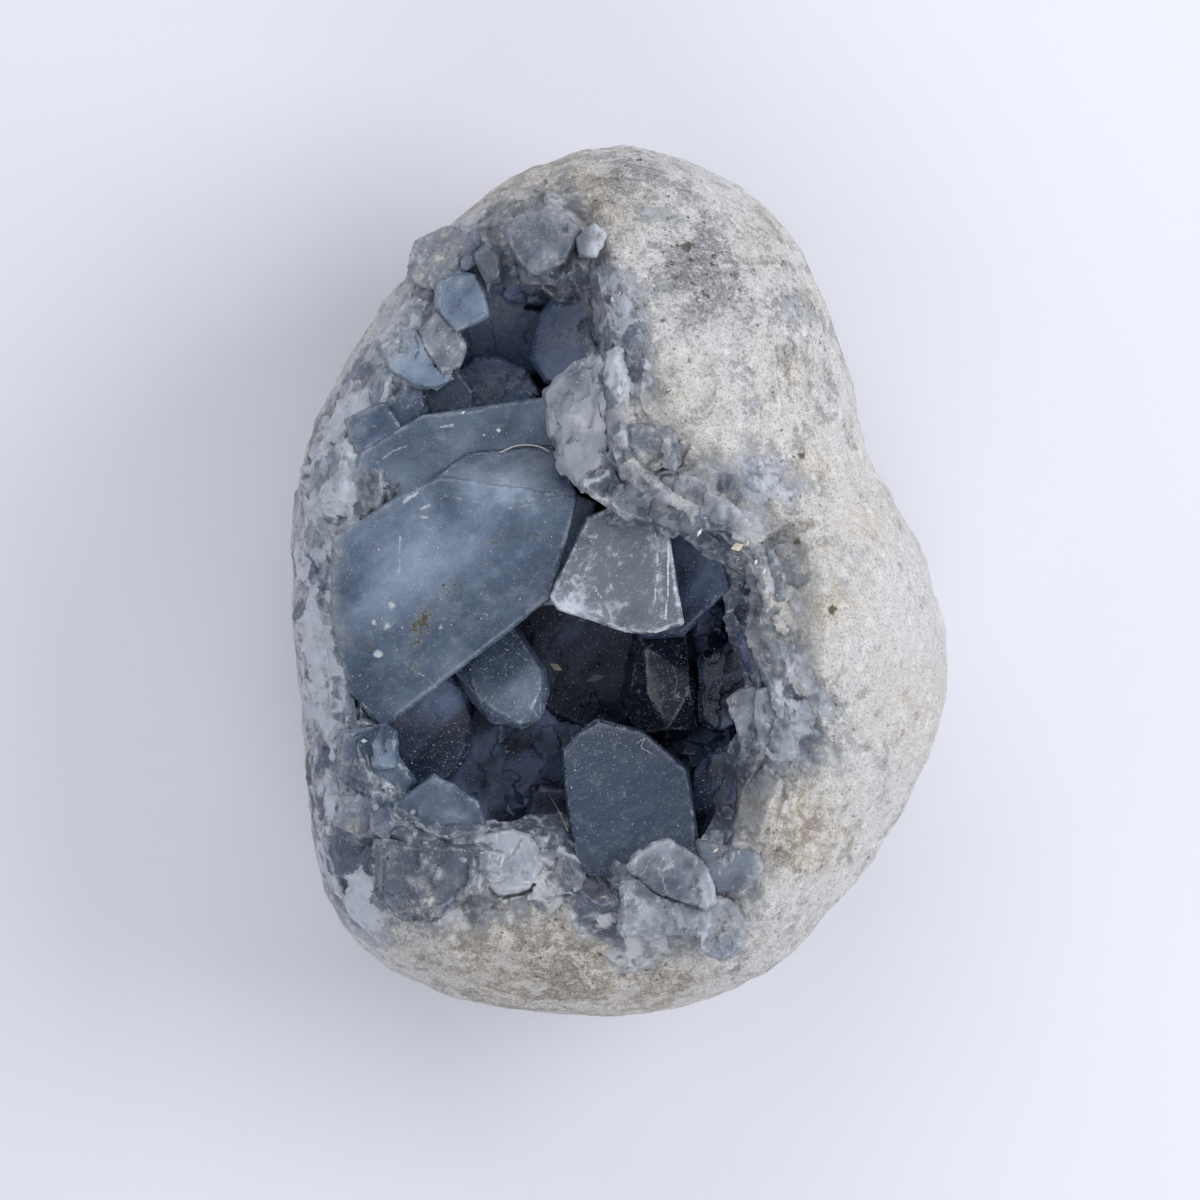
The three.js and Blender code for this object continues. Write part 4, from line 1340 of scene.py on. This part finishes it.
@dataclass
class TopView:
    """Heights seen from straight above, on a grid of small squares."""

    cell: float = 0.8
    half: float = 90.0
    heights: Array = field(init=False)

    def __post_init__(self) -> None:
        """Starts with nothing in view."""
        count = int(2 * self.half / self.cell)
        self.heights = np.full((count, count), -1e3)

    def _squares(self, points: Array) -> tuple[Array, Array]:
        """The square that each point is over."""
        index = ((points[..., :2] + self.half) / self.cell).astype(int)
        index = np.clip(index, 0, len(self.heights) - 1)
        return index[..., 0], index[..., 1]

    def add(self, points: Array) -> None:
        """Takes in a surface's points."""
        np.maximum.at(self.heights, self._squares(points), points[..., 2])

    def at(self, points: Array) -> Array:
        """The greatest height seen over each point's square."""
        return self.heights[self._squares(points)]

    def cover(self, reach: int = 3) -> "TopView":
        """An even cover over what is in view.

        Each square takes the greatest height within reach, then twice the mean of the seen squares
        round it.

        Args:
            reach: how many squares away still count.

        Returns:
            The cover, as a view of its own.
        """
        heights = self.heights
        shifts = range(-reach, reach + 1)
        for axis in (0, 1):
            heights = np.max([np.roll(heights, k, axis) for k in shifts], axis=0)
        seen = (heights > 0).astype(float)
        for axis in (0, 1, 0, 1):
            total = sum(np.roll(heights * seen, k, axis) for k in shifts)
            near = sum(np.roll(seen, k, axis) for k in shifts)
            heights = np.where(near > 0, total / np.maximum(near, 1), -1e3)
            seen = (near > 0).astype(float)
        cover = TopView(self.cell, self.half)
        cover.heights = heights
        return cover

    def smooth_at(self, points: Array) -> Array:
        """Height seen over each point, blended between the four squares nearest to it.

        Args:
            points: points of shape (..., 2) or (..., 3).

        Returns:
            Heights of shape (...).
        """
        place = (points[..., :2] + self.half) / self.cell - 0.5
        base = np.floor(place).astype(int)
        share = place - base
        total = 0.0
        for i, j in np.ndindex(2, 2):
            weight = np.abs(1 - i - share[..., 0]) * np.abs(1 - j - share[..., 1])
            total = total + weight * self.heights[base[..., 0] + i, base[..., 1] + j]
        return total


@dataclass
class BrokenRim:
    """The crystalline band round the hollow's mouth: a closed belt of tilted, broken facets."""

    rock: Rock
    # How far the belt runs inwards from the rim before it drops, at equal steps round from +X.
    shelf: tuple[float, ...] = (3.5, 4.5, 6.5, 8, 9.5, 4, 2, 2.5, 3, 3, 3, 3, 3, 4, 4.5, 4, 3.5,
                                3.5)
    # Points round it, and rows of points outside the rim, inside it and on the underside.
    columns: int = 900
    outside: int = 40
    inside: int = 26
    under: int = 8
    # How steeply it falls on the shelf, how far past the shelf it ends, and how high above the
    # rim it climbs over the crystals at most.
    fall: float = 0.3
    drop: float = 7.0
    climb: float = 4.0
    thickness: float = 3.0
    crease: float = math.radians(38)
    # How far the belt is raised over the rock, and sunk under it at its outer edge.
    raised: float = 0.30
    tucked: float = 1.3
    # Inside the rim: how far it lies under the crystals, how much higher where it drapes over
    # them, and how deep its lowest rows dive.
    below: float = 0.8
    over: float = 1.3
    dive: float = 3.5
    darkened: float = 0.72
    # How far the belt sags at the rim, at equal steps round from +X.
    sag: tuple[float, ...] = (3, 3, 3, 2, 1.5, 2, 1, 0, 0, 0, 0, 0, 0, 0, 0, 1, 2, 3)

    def belt(self) -> tuple[Array, Array, Array]:
        """The belt's upper face as a grid, from the rind over the rim and down the hollow's wall.

        Inside the rim it falls gently for the shelf's width, then blends into the hollow's wall.

        Returns:
            Points (columns, rows, 3), each row's share of the belt, 1 at the rind, 0 at the rim and
            -1 at the lowest row, and how far each point is past the shelf's end (columns, rows).
        """
        nodule = self.rock.nodule
        angle = angles(self.columns)[:, None]
        rim = nodule.around(nodule.rim, angle)
        band = nodule.reach_of_band(angle) * nodule.overlap
        shelf = nodule.around(self.shelf, angle)
        share = np.linspace(1, 0, self.outside + 1)[:-1]
        reach = rim + band * share
        level = nodule.crust(angle, reach)
        drop = np.linspace(0, 1, self.inside)
        run = drop * (shelf + self.drop)
        wall = nodule.bowl(angle, rim - run) - nodule.sunk(angle, rim - run)
        gentle = nodule.crust(angle, rim) - self.fall * run
        past = ease(0, self.drop / 2, run - shelf)
        reach = np.concatenate([reach, rim - run], axis=1)
        level = np.concatenate([level, gentle * (1 - past) + wall * past], axis=1)
        points = nodule.turned(angle, reach, level)
        deep = np.concatenate([np.zeros((self.columns, self.outside)), past], axis=1)
        return points, np.concatenate([share, -drop]), deep

    def build(self, finish: bpy.types.Material, top: TopView) -> Array:
        """Makes the belt.

        It has the rock's own relief, raised a little, and sinks under the rock at its outer edge.
        Inside the rim it follows an even cover over the crystals, and it ends under them.
        The underside is a coarser grid, moved inwards by the thickness.

        Args:
            finish: its material.
            top: the crystals seen from above.

        Returns:
            Points of the upper face.
        """
        nodule = self.rock.nodule
        base, share, deep = self.belt()
        normal = grid_normals(base)
        shape = base.shape[:2]
        cloud = fractal(base.reshape(-1, 3), 6, 4, 181).reshape(shape)
        angle = nodule.angle(base)
        crystalline = nodule.crystalline(base) * (1 - 0.3 * nodule.around(nodule.drape, angle))
        lift, tone, edge = self.rock.relief(base, crystalline)
        out = lift + self.raised - self.tucked * ease(0.82, 1.0, share)
        face = base + normal * out[..., None]
        cover = top.cover().smooth_at(face)
        drape = nodule.around(nodule.drape, angle)
        # Inside the rim the crust climbs or falls to the crystals, then goes under them.
        rest = cover - self.below + self.over * drape + 0.5 * (lift - 0.3) + 0.7 * cloud
        rest = rest - self.dive * ease(0.35, 0.85, 0.25 * cloud - share)
        height = face[..., 2] - nodule.around(self.sag, angle) * (1 - ease(0.0, 0.8, share))
        most = height[:, self.outside, None] + self.climb
        into = ease(0.0, 0.35, -share) * (cover > 0)
        inner = height + (np.minimum(rest, most) - height) * into
        own = top.smooth_at(face)
        duck = np.minimum(own - 1.0 - height, 0) * (own > 0)
        duck = duck * ease(-5.0, -2.5, own - height) * (1 - ease(1.2, 3.0, cover - own))
        outer = height + duck * (1 - drape)
        face[..., 2] = np.where(share > 0, outer, inner)
        kept = np.linspace(shape[1] - 1, 0, self.under).astype(int)
        below = base[:, kept] - normal[:, kept] * self.thickness
        below[..., 2] = np.minimum(below[..., 2], face[:, kept, 2] - 0.5)
        loop = np.concatenate([face, below], axis=1)
        columns, rows = loop.shape[:2]
        column, row = np.arange(columns)[:, None], np.arange(rows)[None, :]
        beside, above = (column + 1) % columns, (row + 1) % rows
        quads = quads_between(column, row, beside, above, rows)
        inward = ease(0.0, 0.7, 0.35 * cloud - share)
        values = self.rock.masks(base)
        values |= {"tone": tone - self.darkened * inward, "edge": edge,
                   "crystalline": crystalline + 0.1 * deep,
                   "rocky": 1 - ease(0.1, 0.7, 0.35 * cloud - share)}
        values = {key: np.concatenate([mask, mask[:, kept]], axis=1).ravel()
                  for key, mask in values.items()}
        piece = make_piece("broken_rim", loop.reshape(-1, 3), quads, finish, True, values,
                           self.crease)
        declare(piece)
        return face.reshape(-1, 3)


def turned_to(normals: Array, rng: np.random.Generator, tilt: float, sizes: Array) -> Array:
    """Frames whose third axis is near a normal, with any spin.

    The third axis is the normal plus a random vector times the tilt; the first is square to it.

    Args:
        normals: unit normals, (N, 3).
        rng: source of the random tilts and spins.
        tilt: how far the third axis strays, in parts of 1.
        sizes: scale along each axis, (N, 3).

    Returns:
        Matrices, (N, 3, 3), with the axes as columns.
    """
    third = unit(normals + tilt * rng.normal(size=normals.shape))
    first = unit(np.cross(third, rng.normal(size=normals.shape)))
    return np.stack([first, np.cross(third, first), third], axis=2) * sizes[:, None, :]


@dataclass
class Druse:
    """Small angular crystals grown together, on the hollow's floor and wall."""

    nodule: Nodule
    name: str = "floor_druse"
    clearness: Clearness = DEEP
    count: int = 420
    size: float = 1.3
    # How much the sizes differ, and how far a crystal is set aside, sunk, turned and bent.
    spread: float = 0.40
    strewn: float = 0.3
    sunk: float = 0.35
    tilt: float = 0.35
    jitter: float = 0.20
    inset: float = 0.24
    tones: tuple[float, float] = (0.1, 0.9)
    # It grows only well inside the rim, and above the nodule's underside.
    inside: float = 9.0
    lowest: float = 20.0

    def template(self) -> tuple[Array, Array, Array]:
        """A block whose every face has an inner face with a border round it.

        Corners 0 to 7 are a cube's. An inner corner is the mean of its own corner and the middle of
        its face, weighted by the inset.

        Returns:
            Weights of the eight corners for each point (32, 8), quads (30, 4) and edge marks (32).
        """
        sides = [(0, 2, 3, 1), (4, 5, 7, 6), (0, 1, 5, 4), (2, 6, 7, 3), (0, 4, 6, 2), (1, 3, 7, 5)]
        weights = [*np.eye(8)]
        quads = []
        for side in sides:
            start = len(weights)
            middle = np.mean([np.eye(8)[k] for k in side], axis=0)
            weights += [(1 - self.inset) * np.eye(8)[k] + self.inset * middle for k in side]
            quads.append([start, start + 1, start + 2, start + 3])
            for k in range(4):
                n = (k + 1) % 4
                quads.append([side[k], side[n], start + n, start + k])
        return np.array(weights), np.array(quads), np.repeat([1.0, 0.0], [8, 24])

    def build(self, places: Array, normals: Array, top: TopView,
              finish: bpy.types.Material) -> None:
        """Makes the druse where nothing lies over the rock.

        Args:
            places: points on the rock, (N, 3).
            normals: the rock's normals there.
            top: what is seen from above.
            finish: the material.
        """
        free = (self.nodule.past_rim(places) < -self.inside) & (places[:, 2] > top.at(places))
        free = (free & (places[:, 2] > self.lowest)).astype(float)
        rng = np.random.default_rng(len(self.name) + self.count)
        count = min(self.count, np.count_nonzero(free))
        chosen = rng.choice(len(places), count, replace=False, p=free / free.sum())
        size = self.size * np.exp(self.spread * rng.normal(size=count))
        sizes = size[:, None] * rng.uniform(0.6, 1.15, (count, 3))
        up = normals[chosen]
        aside = rng.normal(size=(count, 3)) * self.strewn
        spots = places[chosen] + aside - up * (self.sunk * size)[:, None]
        cube = np.array([(x, y, z) for z in (-1, 1) for y in (-1, 1) for x in (-1, 1)], float)
        corners = cube + self.jitter * rng.normal(size=(count, 8, 3))
        corners[:, 4:, 0] *= rng.uniform(0.25, 1.0, (count, 1))
        corners[:, 4:, 1] *= rng.uniform(0.55, 1.0, (count, 1))
        weights, quads, edge = self.template()
        shapes = np.einsum("vk,nkj->nvj", weights, corners)
        points, faces = scatter((shapes, quads), spots, turned_to(up, rng, self.tilt, sizes))
        low, high = self.tones
        patch = 0.5 + 0.5 * fractal(spots, 9, 2, 131)
        tone = np.clip(low + (high - low) * (0.6 * rng.random(count) + 0.4 * patch), 0, 1)
        values = {"tone": np.repeat(tone, len(weights)), "edge": np.tile(edge, count)}
        declare(make_piece(self.name, points, faces, finish, False, values))


@dataclass
class Dust:
    """Pale specks lying on the crystals."""

    finish: PlainFinish = PlainFinish("dust", (0.48, 0.48, 0.48), (0.64, 0.66, 0.70), 2.0, 0.8)
    count: int = 4200
    size: float = 0.074
    steepest: float = 0.4
    strewn: float = 0.35

    def build(self, points: Array, normals: Array, top: TopView) -> None:
        """Drops the specks on points that face up and are seen from above.

        Args:
            points: points on the crystals.
            normals: their normals.
            top: what is seen from above.
        """
        rng = np.random.default_rng(9)
        seen = (normals[:, 2] > self.steepest) & (points[:, 2] > top.at(points) - 1.0)
        thick = np.clip(0.8 + 0.6 * fractal(points, 7, 2, 151), 0.1, None)
        weight = seen * thick * (1 - 0.85 * ease(48, 62, points[:, 2]))
        chosen = rng.choice(len(points), self.count, replace=False, p=weight / weight.sum())
        size = self.size * np.exp(0.35 * rng.normal(size=self.count))
        frames = turns(rng, self.count) * (size[:, None] * rng.uniform(0.6, 1.3, (self.count, 3))
                                           )[:, None, :]
        up = normals[chosen]
        aside = rng.normal(size=(self.count, 3)) * self.strewn
        aside -= up * (aside * up).sum(axis=1, keepdims=True)
        spots = points[chosen] + aside + up * 0.3 * size[:, None]
        corners, faces = scatter(eight_sided(), spots, frames)
        declare(make_piece("dust", corners, faces, self.finish.material(), False))


@dataclass
class Lint:
    """Pale fibres that lie across the crystals."""

    # For each fibre, the points it passes over, seen from above, and its thickness.
    fibres: tuple[tuple[Path, float], ...] = (
        (((-20.6, 22.4), (-17.6, 23.6), (-14.2, 23.5), (-12.2, 22.6)), 0.24),
        (((-27.5, 42.6), (-25.5, 40.4), (-23.6, 38.6)), 0.16),
        (((-18.0, 34.6), (-16.6, 33.6), (-15.2, 32.2)), 0.08),
        (((-20.6, 36.8), (-19.0, 36.2)), 0.08),
        (((2.8, -27.4), (4.2, -26.6), (3.6, -28.0), (5.4, -29.2)), 0.10),
        (((-12.4, -36.4), (-10.6, -39.0), (-9.0, -42.4)), 0.09),
        (((9.0, -14.2), (9.8, -16.4), (9.4, -18.8)), 0.07),
        (((22.4, -40.6), (24.0, -42.0), (25.2, -41.4)), 0.09))
    finish: PlainFinish = PlainFinish("lint", (0.78, 0.74, 0.68), (0.62, 0.55, 0.42), 3.0, 0.6)
    lift: float = 0.35
    steps: int = 14
    sides: int = 5

    def tube(self, path: Path, width: float, top: TopView) -> tuple[Array, Array]:
        """One fibre as a closed tube.

        Between four neighbouring points the path follows the cubic through the middle two; each
        ring is a circle round the path, square to its direction.

        Args:
            path: the points it passes over.
            width: its thickness.
            top: what is seen from above.

        Returns:
            Its corners and triangles.
        """
        ends = np.array(path)
        height = top.at(ends) + self.lift
        knots = np.column_stack([ends, height])
        knots = np.concatenate([[2 * knots[0] - knots[1]], knots, [2 * knots[-1] - knots[-2]]])
        f = (np.arange(self.steps) / self.steps)[:, None]
        line = [curve(*near, f) for near in zip(knots, knots[1:], knots[2:], knots[3:])]
        line = np.concatenate([*line, knots[-2:-1]])
        ahead = unit(np.gradient(line, axis=0))
        side = unit(np.cross(ahead, (0.0, 0.0, 1.0)))
        turn = angles(self.sides)[None, :, None]
        ring = np.cos(turn) * side[:, None] + np.sin(turn) * np.cross(side, ahead)[:, None]
        points = line[:, None] + ring * width / 2
        count = len(line)
        row, column = np.arange(count - 1)[:, None], np.arange(self.sides)[None, :]
        quads = quads_between(row, column, row + 1, (column + 1) % self.sides, self.sides)
        k = np.arange(self.sides)
        n, last = (k + 1) % self.sides, (count - 1) * self.sides
        start, end = count * self.sides, count * self.sides + 1
        faces = np.concatenate([quads[:, [0, 1, 2]], quads[:, [0, 2, 3]],
                                np.stack([k, n, np.full(self.sides, start)], axis=1),
                                np.stack([last + n, last + k, np.full(self.sides, end)], axis=1)])
        return np.concatenate([points.reshape(-1, 3), line[:1], line[-1:]]), faces

    def build(self, top: TopView) -> None:
        """Makes all the fibres as one piece.

        Args:
            top: what is seen from above.
        """
        tubes = [self.tube(*fibre, top) for fibre in self.fibres]
        shifts = np.cumsum([0] + [len(points) for points, _ in tubes])
        points = np.concatenate([points for points, _ in tubes])
        faces = np.concatenate([faces + shift for (_, faces), shift in zip(tubes, shifts)])
        declare(make_piece("lint", points, faces, self.finish.material()))


@dataclass
class Flakes:
    """Loose flakes of one colour that lie on the crystals."""

    name: str
    colour: Colour
    # For each flake, its x and y, its half length and half width, and its turn in degrees.
    rows: tuple[tuple[float, ...], ...]
    thickness: float = 0.25
    lift: float = 0.25
    slope: float = 0.25
    ragged: float = 0.25

    def build(self, top: TopView) -> None:
        """Makes the flakes: eight-sided grains, flattened, turned and laid on what is below.

        Args:
            top: what is seen from above.
        """
        middle = np.array([(*row[:2], 0.0) for row in self.rows])
        middle[:, 2] = top.at(middle) + self.lift
        frames = []
        for _, _, length, width, turn in self.rows:
            c, s = math.cos(math.radians(turn)), math.sin(math.radians(turn))
            frames.append([(length * c, -width * s, 0), (length * s, width * c, 0),
                           (self.slope * length, 0, self.thickness)])
        corners, faces = scatter(eight_sided(), middle, np.array(frames))
        corners += self.ragged * stray(corners, 0.7, 1, 401)
        pale = tuple(min(1.0, 1.25 * c) for c in self.colour)
        finish = PlainFinish(self.name, self.colour, pale, 0.8, 0.6).material()
        declare(make_piece(self.name, corners, faces, finish, False))


FLAKES = (
    Flakes("beige_flakes", (0.60, 0.54, 0.44), (
        (-11.2, -14.4, 1.4, 0.55, -32), (19.8, 6.2, 1.2, 0.9, 20), (21.4, 6.9, 0.7, 0.5, 70),
        (-3.0, -53.6, 0.9, 0.35, 10), (16.2, -45.6, 0.6, 0.3, 40))),
    Flakes("lilac_flakes", (0.26, 0.24, 0.27), ((-4.4, -16.4, 1.8, 0.7, 14),)),
    Flakes("white_flakes", (0.72, 0.75, 0.80), (
        (-27.0, 29.3, 0.5, 0.25, 40), (-20.8, 26.2, 0.55, 0.3, -20), (-23.4, 25.3, 0.35, 0.25, 0),
        (23.0, 3.6, 0.5, 0.3, 70), (24.4, 2.0, 0.6, 0.25, 80), (-34.4, 48.6, 0.5, 0.3, 30),
        (-44.0, -26.8, 0.6, 0.4, 0), (-17.6, -30.4, 0.4, 0.2, 60), (13.4, 8.6, 0.9, 0.35, 70),
        (9.9, -3.6, 0.5, 0.2, 50))),
)


# ---------------------------------------------------------------- the studio


@dataclass
class Studio:
    """Floor, lights and camera: the geode lies on a pale floor and is seen from straight above."""

    view_width: float = 208.0
    aim: tuple[float, float] = (-3.5, -2.8)
    subject_height: float = 40.0
    distance: float = 1600.0
    floor_size: float = 6000.0
    floor_finish: PlainFinish = PlainFinish("floor", (0.79, 0.80, 0.885), (0.80, 0.81, 0.895),
                                            3.0, 0.9)
    # For each light, its name, place, width, power and colour.
    lights: tuple[tuple[str, Colour, float, float, Colour], ...] = (
        ("key", (900, 200, 620), 800, 8.5, (1.0, 0.99, 0.98)),
        ("top_window", (-100, 950, 750), 900, 4.6, (0.97, 0.98, 1.0)),
        ("left_fill", (-950, -50, 750), 900, 2.2, (0.95, 0.97, 1.0)),
        ("front_fill", (150, -950, 750), 900, 4.6, (0.95, 0.97, 1.0)))
    sky: Colour = (0.95, 0.96, 1.0)
    sky_strength: float = 0.34

    def floor(self) -> None:
        """A wide flat floor."""
        corners = np.array([(-1, -1, 0), (1, -1, 0), (1, 1, 0), (-1, 1, 0)]) * self.floor_size / 2
        finish = self.floor_finish.material()
        make_piece("floor", corners, np.array([[0, 1, 2, 3]]), finish, False)

    def light(self, name: str, place: Colour, size: float, power: float, colour: Colour) -> None:
        """A square soft light that faces the geode.

        Args:
            name: its name.
            place: where it stands, in millimetres.
            size: its width in millimetres.
            power: its power in watts.
            colour: its colour.
        """
        data = bpy.data.lights.new(name, "AREA")
        data.size = size * MM
        data.energy = power
        data.color = colour
        lamp = placed(name, data)
        lamp.location = [v * MM for v in place]
        away = lamp.location.normalized()
        lamp.rotation_euler = away.to_track_quat("Z", "Y").to_euler()

    def camera(self) -> None:
        """A long lens straight above, whose frame is the view's width at the subject's height."""
        data = bpy.data.cameras.new("camera")
        data.sensor_width = 36.0
        data.lens = data.sensor_width * self.distance / self.view_width
        data.clip_end = 20.0
        camera = placed("camera", data)
        x, y = self.aim
        camera.location = (x * MM, y * MM, (self.subject_height + self.distance) * MM)
        bpy.context.scene.camera = camera

    def build(self) -> None:
        """Sets up the whole studio."""
        self.floor()
        for light in self.lights:
            self.light(*light)
        self.camera()
        scene = bpy.context.scene
        world = bpy.data.worlds.new("studio")
        scene.world = world
        world.use_nodes = True
        background = world.node_tree.nodes["Background"]
        background.inputs["Color"].default_value = (*self.sky, 1.0)
        background.inputs["Strength"].default_value = self.sky_strength
        scene.view_settings.view_transform = "Standard"
        scene.cycles.max_bounces = 7
        scene.cycles.diffuse_bounces = 3
        scene.cycles.glossy_bounces = 2
        scene.cycles.transmission_bounces = 5
        scene.cycles.use_denoising = True


# ---------------------------------------------------------------- the whole geode


def main() -> None:
    """Builds the geode and its studio, piece by piece."""
    logging.basicConfig(level=logging.INFO, format="%(name)s %(message)s")
    rind = RindFinish()
    inner = {finish.clearness: finish.material() for finish in CELESTITE}
    rimmed = {finish.clearness: finish.material(rind) for finish in CELESTITE}
    nodule = Nodule()
    rock = Rock(nodule)
    shell, shell_normals = rock.build(rind.material())
    cutter = CrystalCutter(nodule)
    made = [cutter.build(crystal, inner[crystal.clearness], rimmed[crystal.clearness])
            for crystal in CRYSTALS]
    points = np.concatenate([m[0] for m in made])
    normals = np.concatenate([m[1] for m in made])
    top = TopView()
    top.add(points)
    top.add(BrokenRim(rock).build(rimmed[FROSTED], top))
    Druse(nodule).build(shell.reshape(-1, 3), shell_normals.reshape(-1, 3), top, inner[DEEP])
    Dust().build(points, normals, top)
    Lint().build(top)
    for flakes in FLAKES:
        flakes.build(top)
    Studio().build()


if __name__ == "__main__":
    main()
